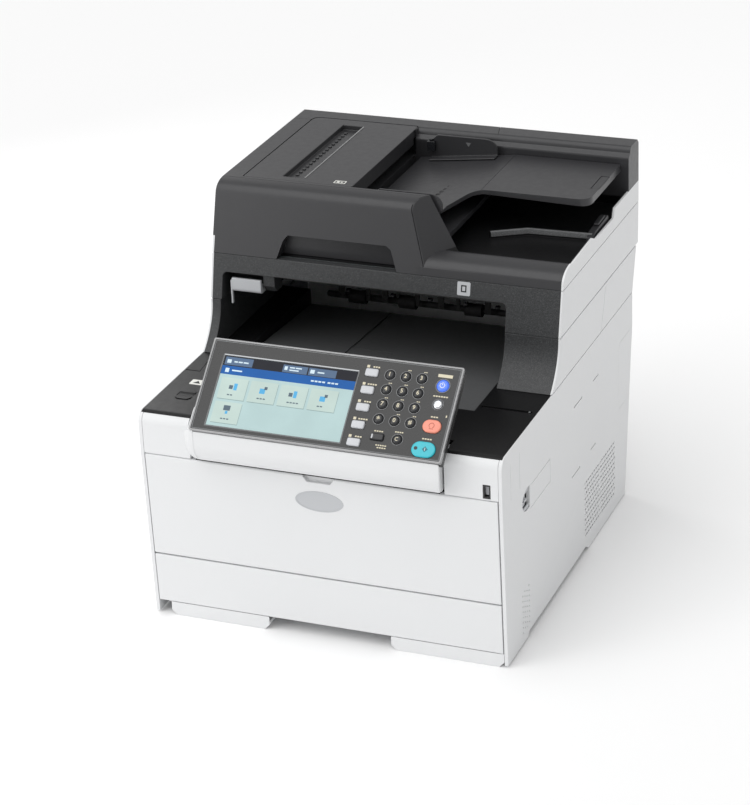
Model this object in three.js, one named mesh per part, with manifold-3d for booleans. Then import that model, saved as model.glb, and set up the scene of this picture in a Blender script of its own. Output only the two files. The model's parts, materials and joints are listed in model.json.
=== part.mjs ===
// A compact desktop photocopier: printer body, output bay, scanner unit, document feeder
// and a tilting operator panel. Millimetres, +Z up, +Y towards the back, the front door's
// upper edge at y = 0. The whole machine is centred over its origin at the end.
import * as THREE from 'three';
import { mergeVertices } from 'three/addons/utils/BufferGeometryUtils.js';
import Module from 'manifold-3d';

const wasm = await Module();
wasm.setup();

// ---------------------------------------------------------------- driving dimensions
const WIDTH = 427;
const DEPTH = 509; // from the front door to the feeder's back; the operator panel hangs in front of it
const HEIGHT = 444;
const HALF = WIDTH / 2;
const GAP = 0.35;
const SKIN = 4;
const INNER = HALF - SKIN;

const PANEL_TILT = THREE.MathUtils.degToRad(42.5);
const PANEL_LEFT = -138.3;
const PANEL_RIGHT = 154.3;
const PANEL_LENGTH = 110.5;
const PANEL_THICK = 12;
const PANEL_EDGE_Y = -26.2;
const PANEL_EDGE_Z = 258;
const BELLY_LEFT = -150.5;
const BELLY_RIGHT = 146;
const PIVOT_Y = 4;
const PIVOT_Z = 240;
const BELLY_R = 29.5;
const REAR = 483; // the printer body's back
const TOP_REAR = DEPTH; // the document feeder's back

const DOOR_TOP = 206.6;
const DOOR_BOTTOM = 78.4;
const DOOR_BARREL = 3.3;
const CASSETTE_TOP = 77.4;
const CASSETTE_BOTTOM = 17;
const FACE_LEAN = 0.04;
const BODY_TOP = 256.7;
const SCANNER_BOTTOM = 312;
const SCANNER_TOP = 364.7;
const ADF_BOTTOM = 365.2;
const BAY_LEFT = -199;
const BAY_RIGHT = 148;

const TRAY_LEFT = -165;
const TRAY_RIGHT = 143;
const TRAY_FRONT = 112;
const TRAY_HINGE_Y = 388;
const TRAY_HINGE_Z = 235;

const FEEDER_LEFT = -190;
const FEEDER_RIGHT = -54.5;
const FEEDER_FRONT = 264;
const FEEDER_REAR = 481;
const INPUT_HINGE_X = -46;

const ROUND_STEPS = 10;

// ---------------------------------------------------------------- materials
const material = (color, roughness, metalness = 0) =>
  new THREE.MeshStandardMaterial({ color, roughness, metalness });

const WHITE = material(0xe8e9ea, 0.45);
const BLACK = material(0x33353a, 0.55);
const SPECKLED = material(0x47494d, 0.6);
const DECK_BLACK = material(0x222326, 0.6);
const STEEL = material(0x8d9194, 0.4, 0.8);
const GREY = material(0xc4c6c8, 0.4);
const RUBBER = material(0x1b1b1c, 0.85);
const GLASS = material(0x9fb4b8, 0.08);
const SCREEN = material(0x9cc4cc, 0.15);
const PAD = material(0xf2f2ee, 0.9);
const PANEL_BLACK = material(0x17181b, 0.3);
const KEY_GREY = material(0xc9cbce, 0.35);
const KEY_DARK = material(0x2b2d31, 0.4);
const KEY_BLUE = material(0x5f7fd8, 0.3);
const KEY_SALMON = material(0xef9b84, 0.4);
const KEY_CYAN = material(0x3dbfd0, 0.35);

// ---------------------------------------------------------------- solids
const BASIS_X = new THREE.Matrix4().makeBasis(
  new THREE.Vector3(0, 1, 0),
  new THREE.Vector3(0, 0, 1),
  new THREE.Vector3(1, 0, 0),
);

function solid(geometry) {
  geometry.deleteAttribute('normal');
  geometry.deleteAttribute('uv');
  const merged = mergeVertices(geometry, 1e-4);
  return new wasm.Manifold(new wasm.Mesh({
    numProp: 3,
    vertProperties: new Float32Array(merged.attributes.position.array),
    triVerts: new Uint32Array(merged.index.array),
  }));
}

function block(x0, x1, y0, y1, z0, z1) {
  const geometry = new THREE.BoxGeometry(x1 - x0, y1 - y0, z1 - z0);
  geometry.translate((x0 + x1) / 2, (y0 + y1) / 2, (z0 + z1) / 2);
  return solid(geometry);
}

function outline(points) {
  return new THREE.Shape(points.map(([a, b]) => new THREE.Vector2(a, b)));
}

function extruded(shape, depth, steps = ROUND_STEPS) {
  return new THREE.ExtrudeGeometry(shape, { depth, bevelEnabled: false, curveSegments: steps });
}

// A shape drawn in Y and Z, swept along X.
function sweepX(shape, x0, x1) {
  const geometry = extruded(shape, x1 - x0);
  geometry.applyMatrix4(BASIS_X);
  geometry.translate(x0, 0, 0);
  return solid(geometry);
}

// A shape drawn in X and Z, swept along Y.
function sweepY(shape, y0, y1) {
  const geometry = extruded(shape, y1 - y0);
  geometry.rotateX(Math.PI / 2);
  geometry.translate(0, y1, 0);
  return solid(geometry);
}

// A shape drawn in X and Y, swept along Z.
function sweepZ(shape, z0, z1, steps = ROUND_STEPS) {
  const geometry = extruded(shape, z1 - z0, steps);
  geometry.translate(0, 0, z0);
  return solid(geometry);
}

function roundedShape(a0, b0, a1, b1, r) {
  const shape = new THREE.Shape();
  shape.moveTo(a0 + r, b0);
  shape.lineTo(a1 - r, b0);
  shape.absarc(a1 - r, b0 + r, r, -Math.PI / 2, 0);
  shape.lineTo(a1, b1 - r);
  shape.absarc(a1 - r, b1 - r, r, 0, Math.PI / 2);
  shape.lineTo(a0 + r, b1);
  shape.absarc(a0 + r, b1 - r, r, Math.PI / 2, Math.PI);
  shape.lineTo(a0, b0 + r);
  shape.absarc(a0 + r, b0 + r, r, Math.PI, Math.PI * 1.5);
  return shape;
}

// A cylinder lying along X.
function rodX(x0, x1, y, z, r, sides = 20) {
  const geometry = new THREE.CylinderGeometry(r, r, x1 - x0, sides);
  geometry.rotateZ(Math.PI / 2);
  geometry.translate((x0 + x1) / 2, y, z);
  return solid(geometry);
}

// A cylinder lying along Y.
function rodY(y0, y1, x, z, r, sides = 20) {
  const geometry = new THREE.CylinderGeometry(r, r, y1 - y0, sides);
  geometry.translate(x, (y0 + y1) / 2, z);
  return solid(geometry);
}

function joined(first, ...rest) {
  return rest.reduce((sum, piece) => sum.add(piece), first);
}

function cut(first, ...rest) {
  return rest.reduce((sum, piece) => sum.subtract(piece), first);
}

function part(name, body, look) {
  const { vertProperties, triVerts } = body.getMesh();
  const geometry = new THREE.BufferGeometry();
  geometry.setAttribute('position', new THREE.BufferAttribute(new Float32Array(vertProperties), 3));
  geometry.setIndex(new THREE.BufferAttribute(new Uint32Array(triVerts), 1));
  geometry.computeVertexNormals();
  const mesh = new THREE.Mesh(geometry, look);
  mesh.name = name;
  return mesh;
}

// ---------------------------------------------------------------- leaning faces
// The front leans back as it goes down, and the rear leans in towards the floor.
const frontAt = (z) => (DOOR_TOP - z) * FACE_LEAN;
const REAR_FOOT = 452;
const REAR_STRAIGHT_Z = 213;
const rearAt = (z) => REAR_FOOT + (REAR - REAR_FOOT) * Math.min(1, (z - 3) / (REAR_STRAIGHT_Z - 3));

// The wings of the rear cover that wrap round onto both sides.
const WING_FRONT = 427;
const WING_LOW = 127;
const WING_HIGH = 212;
const WING_CORNER = 9;

function wingShape(grow) {
  const low = WING_LOW - grow;
  const high = WING_HIGH + grow;
  const front = WING_FRONT - grow;
  const back = grow > 0 ? 5 : -0.2;
  const shape = new THREE.Shape();
  shape.moveTo(front, low);
  shape.lineTo(rearAt(low) + back, low);
  shape.lineTo(rearAt(high) + back, high);
  shape.lineTo(front + WING_CORNER, high);
  shape.absarc(front + WING_CORNER, high - WING_CORNER, WING_CORNER, Math.PI / 2, Math.PI);
  return shape;
}

// ---------------------------------------------------------------- printer body
const SIDE_LOW = 2;
const SIDE_ARCH = 7.5;
const ARCH_FRONT = 82;
const ARCH_REAR = 291;
const TOP_ROUND = 13;

function sideOutline() {
  const shape = new THREE.Shape();
  shape.moveTo(frontAt(SIDE_LOW), SIDE_LOW);
  shape.lineTo(ARCH_FRONT - 4, SIDE_LOW);
  shape.lineTo(ARCH_FRONT, SIDE_ARCH);
  shape.lineTo(ARCH_REAR, SIDE_ARCH);
  shape.lineTo(ARCH_REAR + 12, 1);
  shape.lineTo(rearAt(1), 1);
  shape.lineTo(REAR, REAR_STRAIGHT_Z);
  shape.lineTo(REAR, BODY_TOP);
  shape.lineTo(TOP_ROUND, BODY_TOP);
  shape.absarc(TOP_ROUND, BODY_TOP - TOP_ROUND, TOP_ROUND, Math.PI / 2, Math.PI);
  shape.lineTo(0, DOOR_TOP);
  return shape;
}

const DECK_Z = 250;
const DECK_REAR = 386;
const DECK_LIP = 1.2;
const DECK_FRONT_ANGLE = THREE.MathUtils.degToRad(120);
const DECK_FRONT = TOP_ROUND + TOP_ROUND * Math.cos(DECK_FRONT_ANGLE);

// Only a thin lip of each side cover stands beside the black deck.
function sideCover(sign) {
  const x0 = sign > 0 ? INNER : -HALF;
  const plate = sweepX(sideOutline(), x0, x0 + SKIN);
  const wing = sweepX(wingShape(GAP), x0 - 1, x0 + SKIN + 1);
  const seat = sign > 0 ? [INNER - 1, HALF - DECK_LIP] : [-HALF + DECK_LIP, -INNER + 1];
  const rebate = block(...seat, DECK_FRONT - GAP, DECK_REAR + GAP, DECK_Z - GAP, BODY_TOP + 1);
  return cut(plate, wing, rebate);
}

const LOUVRE = { y0: 289, y1: 409, z0: 22, z1: 90, rows: 11, height: 2.6 };
const LEVER_RECESS = { y0: 65, y1: 90, z0: 159, z1: 186, straight: 8 };

function louvreSlots(x0, x1) {
  const slots = [];
  const pitch = (LOUVRE.z1 - LOUVRE.z0) / (LOUVRE.rows - 1);
  const middle = (LOUVRE.y0 + LOUVRE.y1) / 2;
  for (let row = 0; row < LOUVRE.rows; row += 1) {
    const z = LOUVRE.z0 + row * pitch;
    slots.push(block(x0, x1, LOUVRE.y0, middle - 1.5, z, z + LOUVRE.height));
    slots.push(block(x0, x1, middle + 1.5, LOUVRE.y1, z, z + LOUVRE.height));
  }
  return slots;
}

// The recess is a D with its round side towards the front.
function recessShape() {
  const { y0, y1, z0, z1, straight } = LEVER_RECESS;
  const shape = new THREE.Shape();
  shape.moveTo(y1, z0);
  shape.lineTo(y1, z1);
  shape.lineTo(y1 - straight, z1);
  shape.absellipse(
    y1 - straight,
    (z0 + z1) / 2,
    y1 - straight - y0,
    (z1 - z0) / 2,
    Math.PI / 2,
    Math.PI * 1.5,
  );
  return shape;
}

function rightSideCover() {
  const recess = sweepX(recessShape(), INNER - 1, HALF + 1);
  return cut(sideCover(1), recess, ...louvreSlots(INNER - 1, HALF + 1));
}

const EXIT_DOOR = { half: 140, z0: 131, z1: 205, thick: 3.5 };
const INLET = { x0: 148, x1: 182, z0: 28, z1: 60, y0: 438 };

function leaningSlab(z0, z1, inner, outer) {
  return outline([
    [rearAt(z0) - inner, z0],
    [rearAt(z0) - outer, z0],
    [rearAt(z1) - outer, z1],
    [rearAt(z1) - inner, z1],
  ]);
}

function rearCover() {
  const half = INNER - GAP;
  const low = sweepX(leaningSlab(3, REAR_STRAIGHT_Z, SKIN, 0), -half, half);
  const high = block(-half, half, REAR - SKIN, REAR - 0.1, REAR_STRAIGHT_Z - 1, BODY_TOP);
  const wings = [-1, 1].map((sign) => {
    const x0 = sign > 0 ? half - 2 : -HALF;
    return sweepX(wingShape(0), x0, x0 + HALF - half + 2);
  });
  const exit = sweepX(
    leaningSlab(EXIT_DOOR.z0 - GAP, EXIT_DOOR.z1 + GAP, 12, -12),
    -EXIT_DOOR.half - GAP,
    EXIT_DOOR.half + GAP,
  );
  const inlet = block(INLET.x0 - GAP, INLET.x1 + GAP, 420, 480, INLET.z0 - GAP, INLET.z1 + GAP);
  return cut(joined(low, high, ...wings), exit, inlet);
}

function rearExitCover() {
  const slab = sweepX(
    leaningSlab(EXIT_DOOR.z0, EXIT_DOOR.z1, EXIT_DOOR.thick, 0),
    -EXIT_DOOR.half,
    EXIT_DOOR.half,
  );
  const grip = sweepX(leaningSlab(EXIT_DOOR.z1 - 12, EXIT_DOOR.z1 - 3, 2, -4), -22, 22);
  return cut(slab, grip);
}

function powerInlet() {
  const face = rearAt(INLET.z0);
  const shell = block(INLET.x0, INLET.x1, INLET.y0, face, INLET.z0, INLET.z1);
  const socket = block(INLET.x0 + 4.5, INLET.x1 - 4.5, face - 14, face + 5, INLET.z0 + 7, INLET.z1 - 8);
  return cut(shell, socket);
}

const FRAME_X = 206;
const FRAME_WALL = 3;
const SHELF_Z = 81;
const PLINTHS = [[-194, -72], [76, 209]];

function plinth(x0, x1) {
  const shape = outline([[x0 + 6, 0], [x1 - 6, 0], [x1, 6], [x1, 16.5], [x0, 16.5], [x0, 6]]);
  return sweepY(shape, frontAt(CASSETTE_BOTTOM) + 0.3, 50);
}

// The floor, the plinths and feet under it, the two upright side plates and the shelf.
function baseFrame() {
  const floor = block(-INNER + 1, INNER - 1, 46, 446, 6, 10);
  const rearFeet = [-1, 1].map((sign) => {
    const x = sign * 190;
    return sweepZ(roundedShape(x - 18, 302, x + 18, 344, 8), 0, 7);
  });
  const backFeet = [-1, 1].map((sign) => block(sign * 180 - 18, sign * 180 + 18, 424, 446, 0, 7));
  const walls = [-1, 1].map((sign) => {
    const x0 = sign > 0 ? FRAME_X - FRAME_WALL : -FRAME_X;
    const shape = outline([[50, 9], [444, 9], [462, 215], [462, 248], [50, 248]]);
    return sweepX(shape, x0, x0 + FRAME_WALL);
  });
  const shelf = block(-FRAME_X + 1, FRAME_X - 1, 50, 448, SHELF_Z, SHELF_Z + 2.5);
  const feet = PLINTHS.map(([x0, x1]) => plinth(x0, x1));
  const mouth = block(-INNER + 6, INNER - 6, 8, 60, 10, CASSETTE_TOP);
  return cut(joined(floor, ...feet, ...rearFeet, ...backFeet, ...walls, shelf), mouth);
}

const POCKET_R = BELLY_R + 1.6;
const BLOCK_DEPTH = 40;
const BEAM_LOW = 207.7;

function beamProfile() {
  const edge = DECK_FRONT_ANGLE + 1.3 * GAP / TOP_ROUND;
  const shape = new THREE.Shape();
  shape.moveTo(0, BEAM_LOW);
  shape.lineTo(BLOCK_DEPTH, BEAM_LOW);
  shape.lineTo(BLOCK_DEPTH, DECK_Z - GAP);
  shape.lineTo(DECK_FRONT - GAP, DECK_Z - GAP);
  shape.absarc(TOP_ROUND, BODY_TOP - TOP_ROUND, TOP_ROUND, edge, Math.PI);
  return shape;
}

const USB = { x: 196, z: 217.5, half: 4.4, tall: 8.4, depth: 15 };

function frontBeam() {
  const half = INNER - GAP;
  const whole = sweepX(beamProfile(), -half, half);
  const pocket = block(BELLY_LEFT - 2, BELLY_RIGHT + 2, -5, BLOCK_DEPTH - 3, 200, 270);
  const port = block(USB.x - USB.half, USB.x + USB.half, -5, USB.depth, USB.z - USB.tall, USB.z + USB.tall);
  return cut(whole, pocket, port);
}

function usbPort() {
  const inset = GAP;
  const half = USB.half - inset;
  const tall = USB.tall - inset;
  const shell = block(USB.x - half, USB.x + half, 0.6, USB.depth - inset, USB.z - tall, USB.z + tall);
  const mouth = block(USB.x - 2.6, USB.x + 2.6, 0, USB.depth - 2, USB.z - 6.4, USB.z + 6.4);
  return cut(shell, mouth);
}

const BUTTON = { x0: -191, x1: -172, y0: 46, y1: 70 };
const SKIRT_LOW = 226;

function deckProfile(rear) {
  const shape = new THREE.Shape();
  shape.moveTo(DECK_FRONT, DECK_Z);
  shape.lineTo(rear, DECK_Z);
  shape.lineTo(rear, BODY_TOP);
  shape.lineTo(TOP_ROUND, BODY_TOP);
  shape.absarc(TOP_ROUND, BODY_TOP - TOP_ROUND, TOP_ROUND, Math.PI / 2, DECK_FRONT_ANGLE);
  return shape;
}

// The fixed black deck runs round three sides of the output tray, with a skirt down each side of it.
function deck() {
  const half = HALF - DECK_LIP - GAP;
  const front = sweepX(deckProfile(TRAY_FRONT - 1), -half, half);
  const left = sweepX(deckProfile(DECK_REAR), -half, TRAY_LEFT - 1);
  const right = sweepX(deckProfile(DECK_REAR), TRAY_RIGHT + 1, half);
  const skirts = [TRAY_LEFT - 4, TRAY_RIGHT + 1].map(
    (x) => block(x, x + 3, TRAY_FRONT + 20, DECK_REAR, SKIRT_LOW, DECK_Z + 1),
  );
  const swing = rodX(BELLY_LEFT - 2, BELLY_RIGHT + 2, PIVOT_Y, PIVOT_Z, POCKET_R + 3, 40);
  const well = sweepZ(
    roundedShape(BUTTON.x0 - GAP, BUTTON.y0 - GAP, BUTTON.x1 + GAP, BUTTON.y1 + GAP, 6),
    DECK_Z - 1,
    BODY_TOP + 1,
  );
  const step = block(-half - 1, -193, 121, 122.5, BODY_TOP - 1, BODY_TOP + 1);
  const groove = block(153, 205, 122, 126, BODY_TOP - 3, BODY_TOP + 1);
  return cut(joined(front, left, right, ...skirts), swing, well, step, groove);
}

function trayReleaseButton() {
  const cap = sweepZ(roundedShape(BUTTON.x0, BUTTON.y0, BUTTON.x1, BUTTON.y1, 6), DECK_Z - 1, BODY_TOP + 0.8);
  const scoop = rodX(BUTTON.x0 - 1, BUTTON.x1 + 1, BUTTON.y0 + 12, BODY_TOP + 14, 14.5, 32);
  return cut(cap, scoop);
}

function doorReleaseLever() {
  const y = (LEVER_RECESS.y0 + LEVER_RECESS.y1) / 2;
  const plate = sweepX(roundedShape(y - 5, 165, y + 5, 179, 3), FRAME_X + 1, HALF - 3);
  const tab = block(HALF - 3.2, HALF - 0.6, y - 4, y + 4, 171, 174);
  return joined(plate, tab);
}

// ---------------------------------------------------------------- arms and rear stand
const ARM_TOP_Y = 204;
const ARM_FOOT_Y = 172;
const SEAM_LOW_Y = 355;
const SEAM_HIGH_Y = 378;
const ARM_LOW = 257;
const ARM_HIGH = SCANNER_BOTTOM - GAP;

function armProfile() {
  const shape = new THREE.Shape();
  shape.moveTo(ARM_FOOT_Y, ARM_LOW);
  shape.lineTo(SEAM_LOW_Y, ARM_LOW);
  shape.lineTo(SEAM_HIGH_Y, ARM_HIGH);
  shape.lineTo(ARM_TOP_Y, ARM_HIGH);
  shape.quadraticCurveTo(ARM_TOP_Y, 283, ARM_FOOT_Y, ARM_LOW);
  return shape;
}

function arm(x0, x1) {
  return sweepX(armProfile(), x0, x1);
}

const STAND_FRONT = 392;
const STAND_REAR_HIGH = 500;

function rearStand() {
  const shape = outline([
    [STAND_FRONT, 264],
    [416, 264],
    [416, ARM_LOW],
    [REAR, ARM_LOW],
    [STAND_REAR_HIGH, ARM_HIGH],
    [STAND_FRONT, ARM_HIGH],
  ]);
  const bodyBlock = sweepX(shape, -HALF, HALF);
  const cavity = block(-HALF + 8, HALF - 8, 420, REAR - 5, ARM_LOW - 1, ARM_HIGH - 5);
  const sides = [-1, 1].map((sign) => {
    const x0 = sign > 0 ? INNER : -HALF;
    const side = outline([
      [SEAM_LOW_Y + 1, ARM_LOW],
      [STAND_FRONT + 26, ARM_LOW],
      [STAND_FRONT + 26, ARM_HIGH],
      [SEAM_HIGH_Y + 1, ARM_HIGH],
    ]);
    return sweepX(side, x0, x0 + SKIN);
  });
  return cut(joined(bodyBlock, ...sides), cavity);
}

// ---------------------------------------------------------------- inside the body
const BELT = { y0: 66, y1: 376, z0: 88, z1: 116, half: 150 };

function transferBelt() {
  const r = (BELT.z1 - BELT.z0) / 2;
  return sweepX(roundedShape(BELT.y0, BELT.z0, BELT.y1, BELT.z1, r - 0.5), -BELT.half, BELT.half);
}

const DRUM_Y = [104, 178, 252, 326];

// Four drum and toner cartridges stand in one lift-out basket.
function drumBasket() {
  const rails = [-1, 1].map((sign) => block(sign * 156 - 3, sign * 156 + 3, 74, 362, 150, 160));
  const cartridges = DRUM_Y.map((y) => joined(
    rodX(-156, 156, y, 136, 15, 24),
    sweepX(roundedShape(y - 25, 148, y + 25, 200, 12), -156, 156),
  ));
  return joined(rails[0], rails[1], ...cartridges);
}

function fuserUnit() {
  return sweepX(roundedShape(392, 140, 446, 204, 14), -150, 150);
}

const EXIT_ROLLER = { y: 403, z: 246, shaft: 4, r: 8 };

function exitRoller() {
  const shaft = rodX(-150, 145, EXIT_ROLLER.y, EXIT_ROLLER.z, EXIT_ROLLER.shaft, 12);
  const rolls = [-110, -45, 40, 105].map(
    (x) => rodX(x - 11, x + 11, EXIT_ROLLER.y, EXIT_ROLLER.z, EXIT_ROLLER.r, 20),
  );
  return joined(shaft, ...rolls);
}

// ---------------------------------------------------------------- output tray
const TRAY_LEVEL_Y = 136;
const TRAY_TOP = 254.5;
const TRAY_REAR_TOP = 238;
const traySurface = (y) => TRAY_TOP - (y - TRAY_LEVEL_Y) * (TRAY_TOP - TRAY_REAR_TOP) / (384 - TRAY_LEVEL_Y);
const FLAP = { x0: -59, x1: -8, y0: 222, y1: 254, thick: 2.4 };

// The flap's rear edge is undercut, so that it clears its well as it flips up.
function flapShape(grow) {
  const y0 = FLAP.y0 - grow;
  const y1 = FLAP.y1 + grow;
  const undercut = grow > 0 ? 0 : 1;
  return outline([
    [y0, traySurface(y0) - FLAP.thick - grow],
    [y1 - undercut, traySurface(y1) - FLAP.thick - grow],
    [y1, traySurface(y1) + grow * 8],
    [y0, traySurface(y0) + grow * 8],
  ]);
}

function outputTray() {
  const shape = outline([
    [TRAY_FRONT, 250.5],
    [TRAY_FRONT, TRAY_TOP],
    [TRAY_LEVEL_Y, TRAY_TOP],
    [384, TRAY_REAR_TOP],
    [TRAY_HINGE_Y, TRAY_HINGE_Z],
    [384, 232],
    [TRAY_LEVEL_Y, 246.5],
  ]);
  const slab = sweepX(shape, TRAY_LEFT, TRAY_RIGHT);
  const well = sweepX(flapShape(GAP), FLAP.x0 - GAP, FLAP.x1 + GAP);
  return cut(slab, well);
}

function paperStopFlap() {
  return sweepX(flapShape(0), FLAP.x0, FLAP.x1);
}

// ---------------------------------------------------------------- front door and cassette
const BARREL_Y = frontAt(81.7) + DOOR_BARREL;
const BARREL_Z = DOOR_BOTTOM + DOOR_BARREL;
const RIGHT_REVEAL = 0.7; // the gap beside the door and drawer is wider on the right

function frontDoor() {
  const half = INNER - GAP * 2;
  const shape = new THREE.Shape();
  shape.moveTo(BARREL_Y - DOOR_BARREL, BARREL_Z);
  shape.absarc(BARREL_Y, BARREL_Z, DOOR_BARREL, Math.PI, Math.PI * 2);
  shape.lineTo(8.5, DOOR_TOP);
  shape.lineTo(1.5, DOOR_TOP);
  shape.lineTo(0, DOOR_TOP - 1.5);
  const slab = sweepX(shape, -half, half - RIGHT_REVEAL);
  const notch = sweepY(outline([[-19, 208], [-13, 199.5], [14.5, 199.5], [20.5, 208]]), -2, 5);
  return cut(slab, notch);
}

function cassetteFront() {
  const half = INNER - GAP * 2;
  const shape = outline([
    [frontAt(CASSETTE_BOTTOM), CASSETTE_BOTTOM],
    [frontAt(CASSETTE_BOTTOM) + 13, CASSETTE_BOTTOM],
    [frontAt(CASSETTE_BOTTOM) + 13, CASSETTE_TOP],
    [frontAt(CASSETTE_TOP) + 1, CASSETTE_TOP],
    [frontAt(CASSETTE_TOP), CASSETTE_TOP - 1],
  ]);
  return sweepX(shape, -half, half - RIGHT_REVEAL);
}

const CASSETTE = { half: 170, y0: 21, y1: 412, z0: 18, z1: 70, wall: 3 };

function cassette() {
  const c = CASSETTE;
  const outer = block(-c.half, c.half, c.y0, c.y1, c.z0, c.z1);
  const inner = block(-c.half + c.wall, c.half - c.wall, c.y0 + c.wall, c.y1 - c.wall, c.z0 + c.wall, c.z1 + 5);
  return cut(outer, inner);
}

const LIFT = { half: 106, y0: 34, y1: 214, z: 22, thick: 2 };

function liftPlate() {
  const plate = block(-LIFT.half, LIFT.half, LIFT.y0, LIFT.y1, LIFT.z, LIFT.z + LIFT.thick);
  const notches = [-1, 1].map((sign) => block(
    Math.min(sign * 80, sign * 110),
    Math.max(sign * 80, sign * 110),
    LIFT.y0 + 40,
    LIFT.y0 + 60,
    LIFT.z - 1,
    LIFT.z + 5,
  ));
  return cut(plate, ...notches);
}

// ---------------------------------------------------------------- operator panel
// Drawn flat: x across, y up the face from its lower edge, z out of the face.
const KEY_TRAVEL = 1.2;
const KEY_ROOT = -4;
const WELL_FLOOR = KEY_ROOT - KEY_TRAVEL - 0.4;
const SCREEN_RECT = { x0: -121, x1: 37.4, y0: 8, y1: 92, thick: 3 };
const COLUMN_X = [73.9, 92.2, 110.5];
const ROW_Y = [92.6, 75.3, 58, 40.7];
const FUNCTION_X = 52.8;
const FUNCTION_PITCH = 20.5;
const FUNCTION_LOW = 10.6;

const DIGITS = ['1', '2', '3', '4', '5', '6', '7', '8', '9', 'star', '0', 'hash'];
const FUNCTIONS = ['fax', 'print', 'scan', 'copy', 'home'];

const digitKeys = DIGITS.map((label, index) => ({
  name: `key_${label}`,
  x: COLUMN_X[index % 3],
  y: ROW_Y[Math.floor(index / 3)],
  width: 11,
  height: 11,
  look: KEY_DARK,
}));

const functionKeys = FUNCTIONS.map((label, index) => ({
  name: `key_${label}`,
  x: FUNCTION_X,
  y: FUNCTION_LOW + index * FUNCTION_PITCH,
  width: 15,
  height: 9,
  corner: 2,
  look: KEY_GREY,
}));

const specialKeys = [
  { name: 'key_status', x: 77.6, y: 20, width: 15, height: 8, corner: 2, look: KEY_DARK },
  { name: 'key_clear', x: 100.6, y: 20, width: 11, height: 11, look: KEY_DARK },
  { name: 'key_power', x: 135.7, y: 87.5, width: 14, height: 14, look: KEY_BLUE },
  { name: 'key_power_save', x: 135.4, y: 65.6, width: 11, height: 11, look: KEY_GREY },
  { name: 'key_stop', x: 135.1, y: 39.9, width: 21, height: 15, look: KEY_SALMON },
  { name: 'key_start', x: 132.3, y: 12.6, width: 27, height: 18, look: KEY_CYAN },
];

const KEYS = [...digitKeys, ...functionKeys, ...specialKeys];

function keyShape(key, grow) {
  const halfX = key.width / 2 + grow;
  const halfY = key.height / 2 + grow;
  const corner = Math.min(key.corner ?? 99, halfX - 0.01, halfY - 0.01);
  return roundedShape(key.x - halfX, key.y - halfY, key.x + halfX, key.y + halfY, corner);
}

function keyCap(key) {
  const stem = sweepZ(keyShape(key, 0), KEY_ROOT, 1, 3);
  const crown = sweepZ(keyShape(key, -1), 0.9, 1.8, 3);
  return joined(stem, crown);
}

function panelHousing() {
  const body = sweepZ(roundedShape(PANEL_LEFT, 0, PANEL_RIGHT, PANEL_LENGTH, 3), -PANEL_THICK, 0);
  const screen = SCREEN_RECT;
  const window = block(
    screen.x0 - GAP,
    screen.x1 + GAP,
    screen.y0 - GAP,
    screen.y1 + GAP,
    -screen.thick - GAP,
    2,
  );
  const wells = KEYS.map((key) => sweepZ(keyShape(key, 0.4), WELL_FLOOR, 2, 3));
  return cut(body, window, ...wells);
}

function display() {
  const screen = SCREEN_RECT;
  return block(screen.x0, screen.x1, screen.y0, screen.y1, -screen.thick, -0.1);
}

// The white belly under the panel turns in the front beam about the tilt pivot.
function panelBelly() {
  const shape = new THREE.Shape();
  shape.moveTo(PIVOT_Y - BELLY_R, 256.4);
  shape.lineTo(PIVOT_Y - BELLY_R, PIVOT_Z);
  shape.absarc(PIVOT_Y, PIVOT_Z, BELLY_R, Math.PI, Math.PI * 1.5);
  shape.lineTo(12, 222);
  shape.lineTo(14, 258);
  shape.lineTo(10, 274.2);
  shape.lineTo(-18.2, 248.4);
  const endCut = sweepZ(
    outline([
      [BELLY_RIGHT, 60],
      [BELLY_RIGHT, -6],
      [PANEL_RIGHT - 1, -27],
      [PANEL_RIGHT + 1, -28],
      [PANEL_RIGHT + 1, 60],
    ]),
    200,
    290,
  );
  const belly = cut(sweepX(shape, PANEL_LEFT + 1, PANEL_RIGHT - 1), endCut);
  return joined(belly, sweepX(bellyEnd(), BELLY_LEFT, PANEL_LEFT + 2));
}

// Only the round lower part of the belly reaches out past the panel's left edge.
function bellyEnd() {
  const r = BELLY_R - 0.5;
  const shape = new THREE.Shape();
  shape.moveTo(PIVOT_Y - r, 246);
  shape.absarc(PIVOT_Y, PIVOT_Z, r, Math.PI, Math.PI * 1.5);
  shape.lineTo(11, 222);
  shape.lineTo(11, 243);
  shape.lineTo(-10, 250);
  return shape;
}

function operatorPanel() {
  const group = new THREE.Group();
  group.position.set(0, PANEL_EDGE_Y, PANEL_EDGE_Z);
  group.rotation.x = PANEL_TILT;
  group.add(part('panel_housing', panelHousing(), PANEL_BLACK));
  group.add(part('display', display(), SCREEN));
  KEYS.forEach((key) => group.add(part(key.name, keyCap(key), key.look)));
  return group;
}

// ---------------------------------------------------------------- scanner unit
const SCANNER_TOP_Y = 216;
const SCANNER_REAR_LOW = 507;
const LIP_Z = 344;
const CEILING_Z = 330;
const GLASS_RECT = { x0: -163, x1: 158, y0: 228, y1: 456 };

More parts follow.
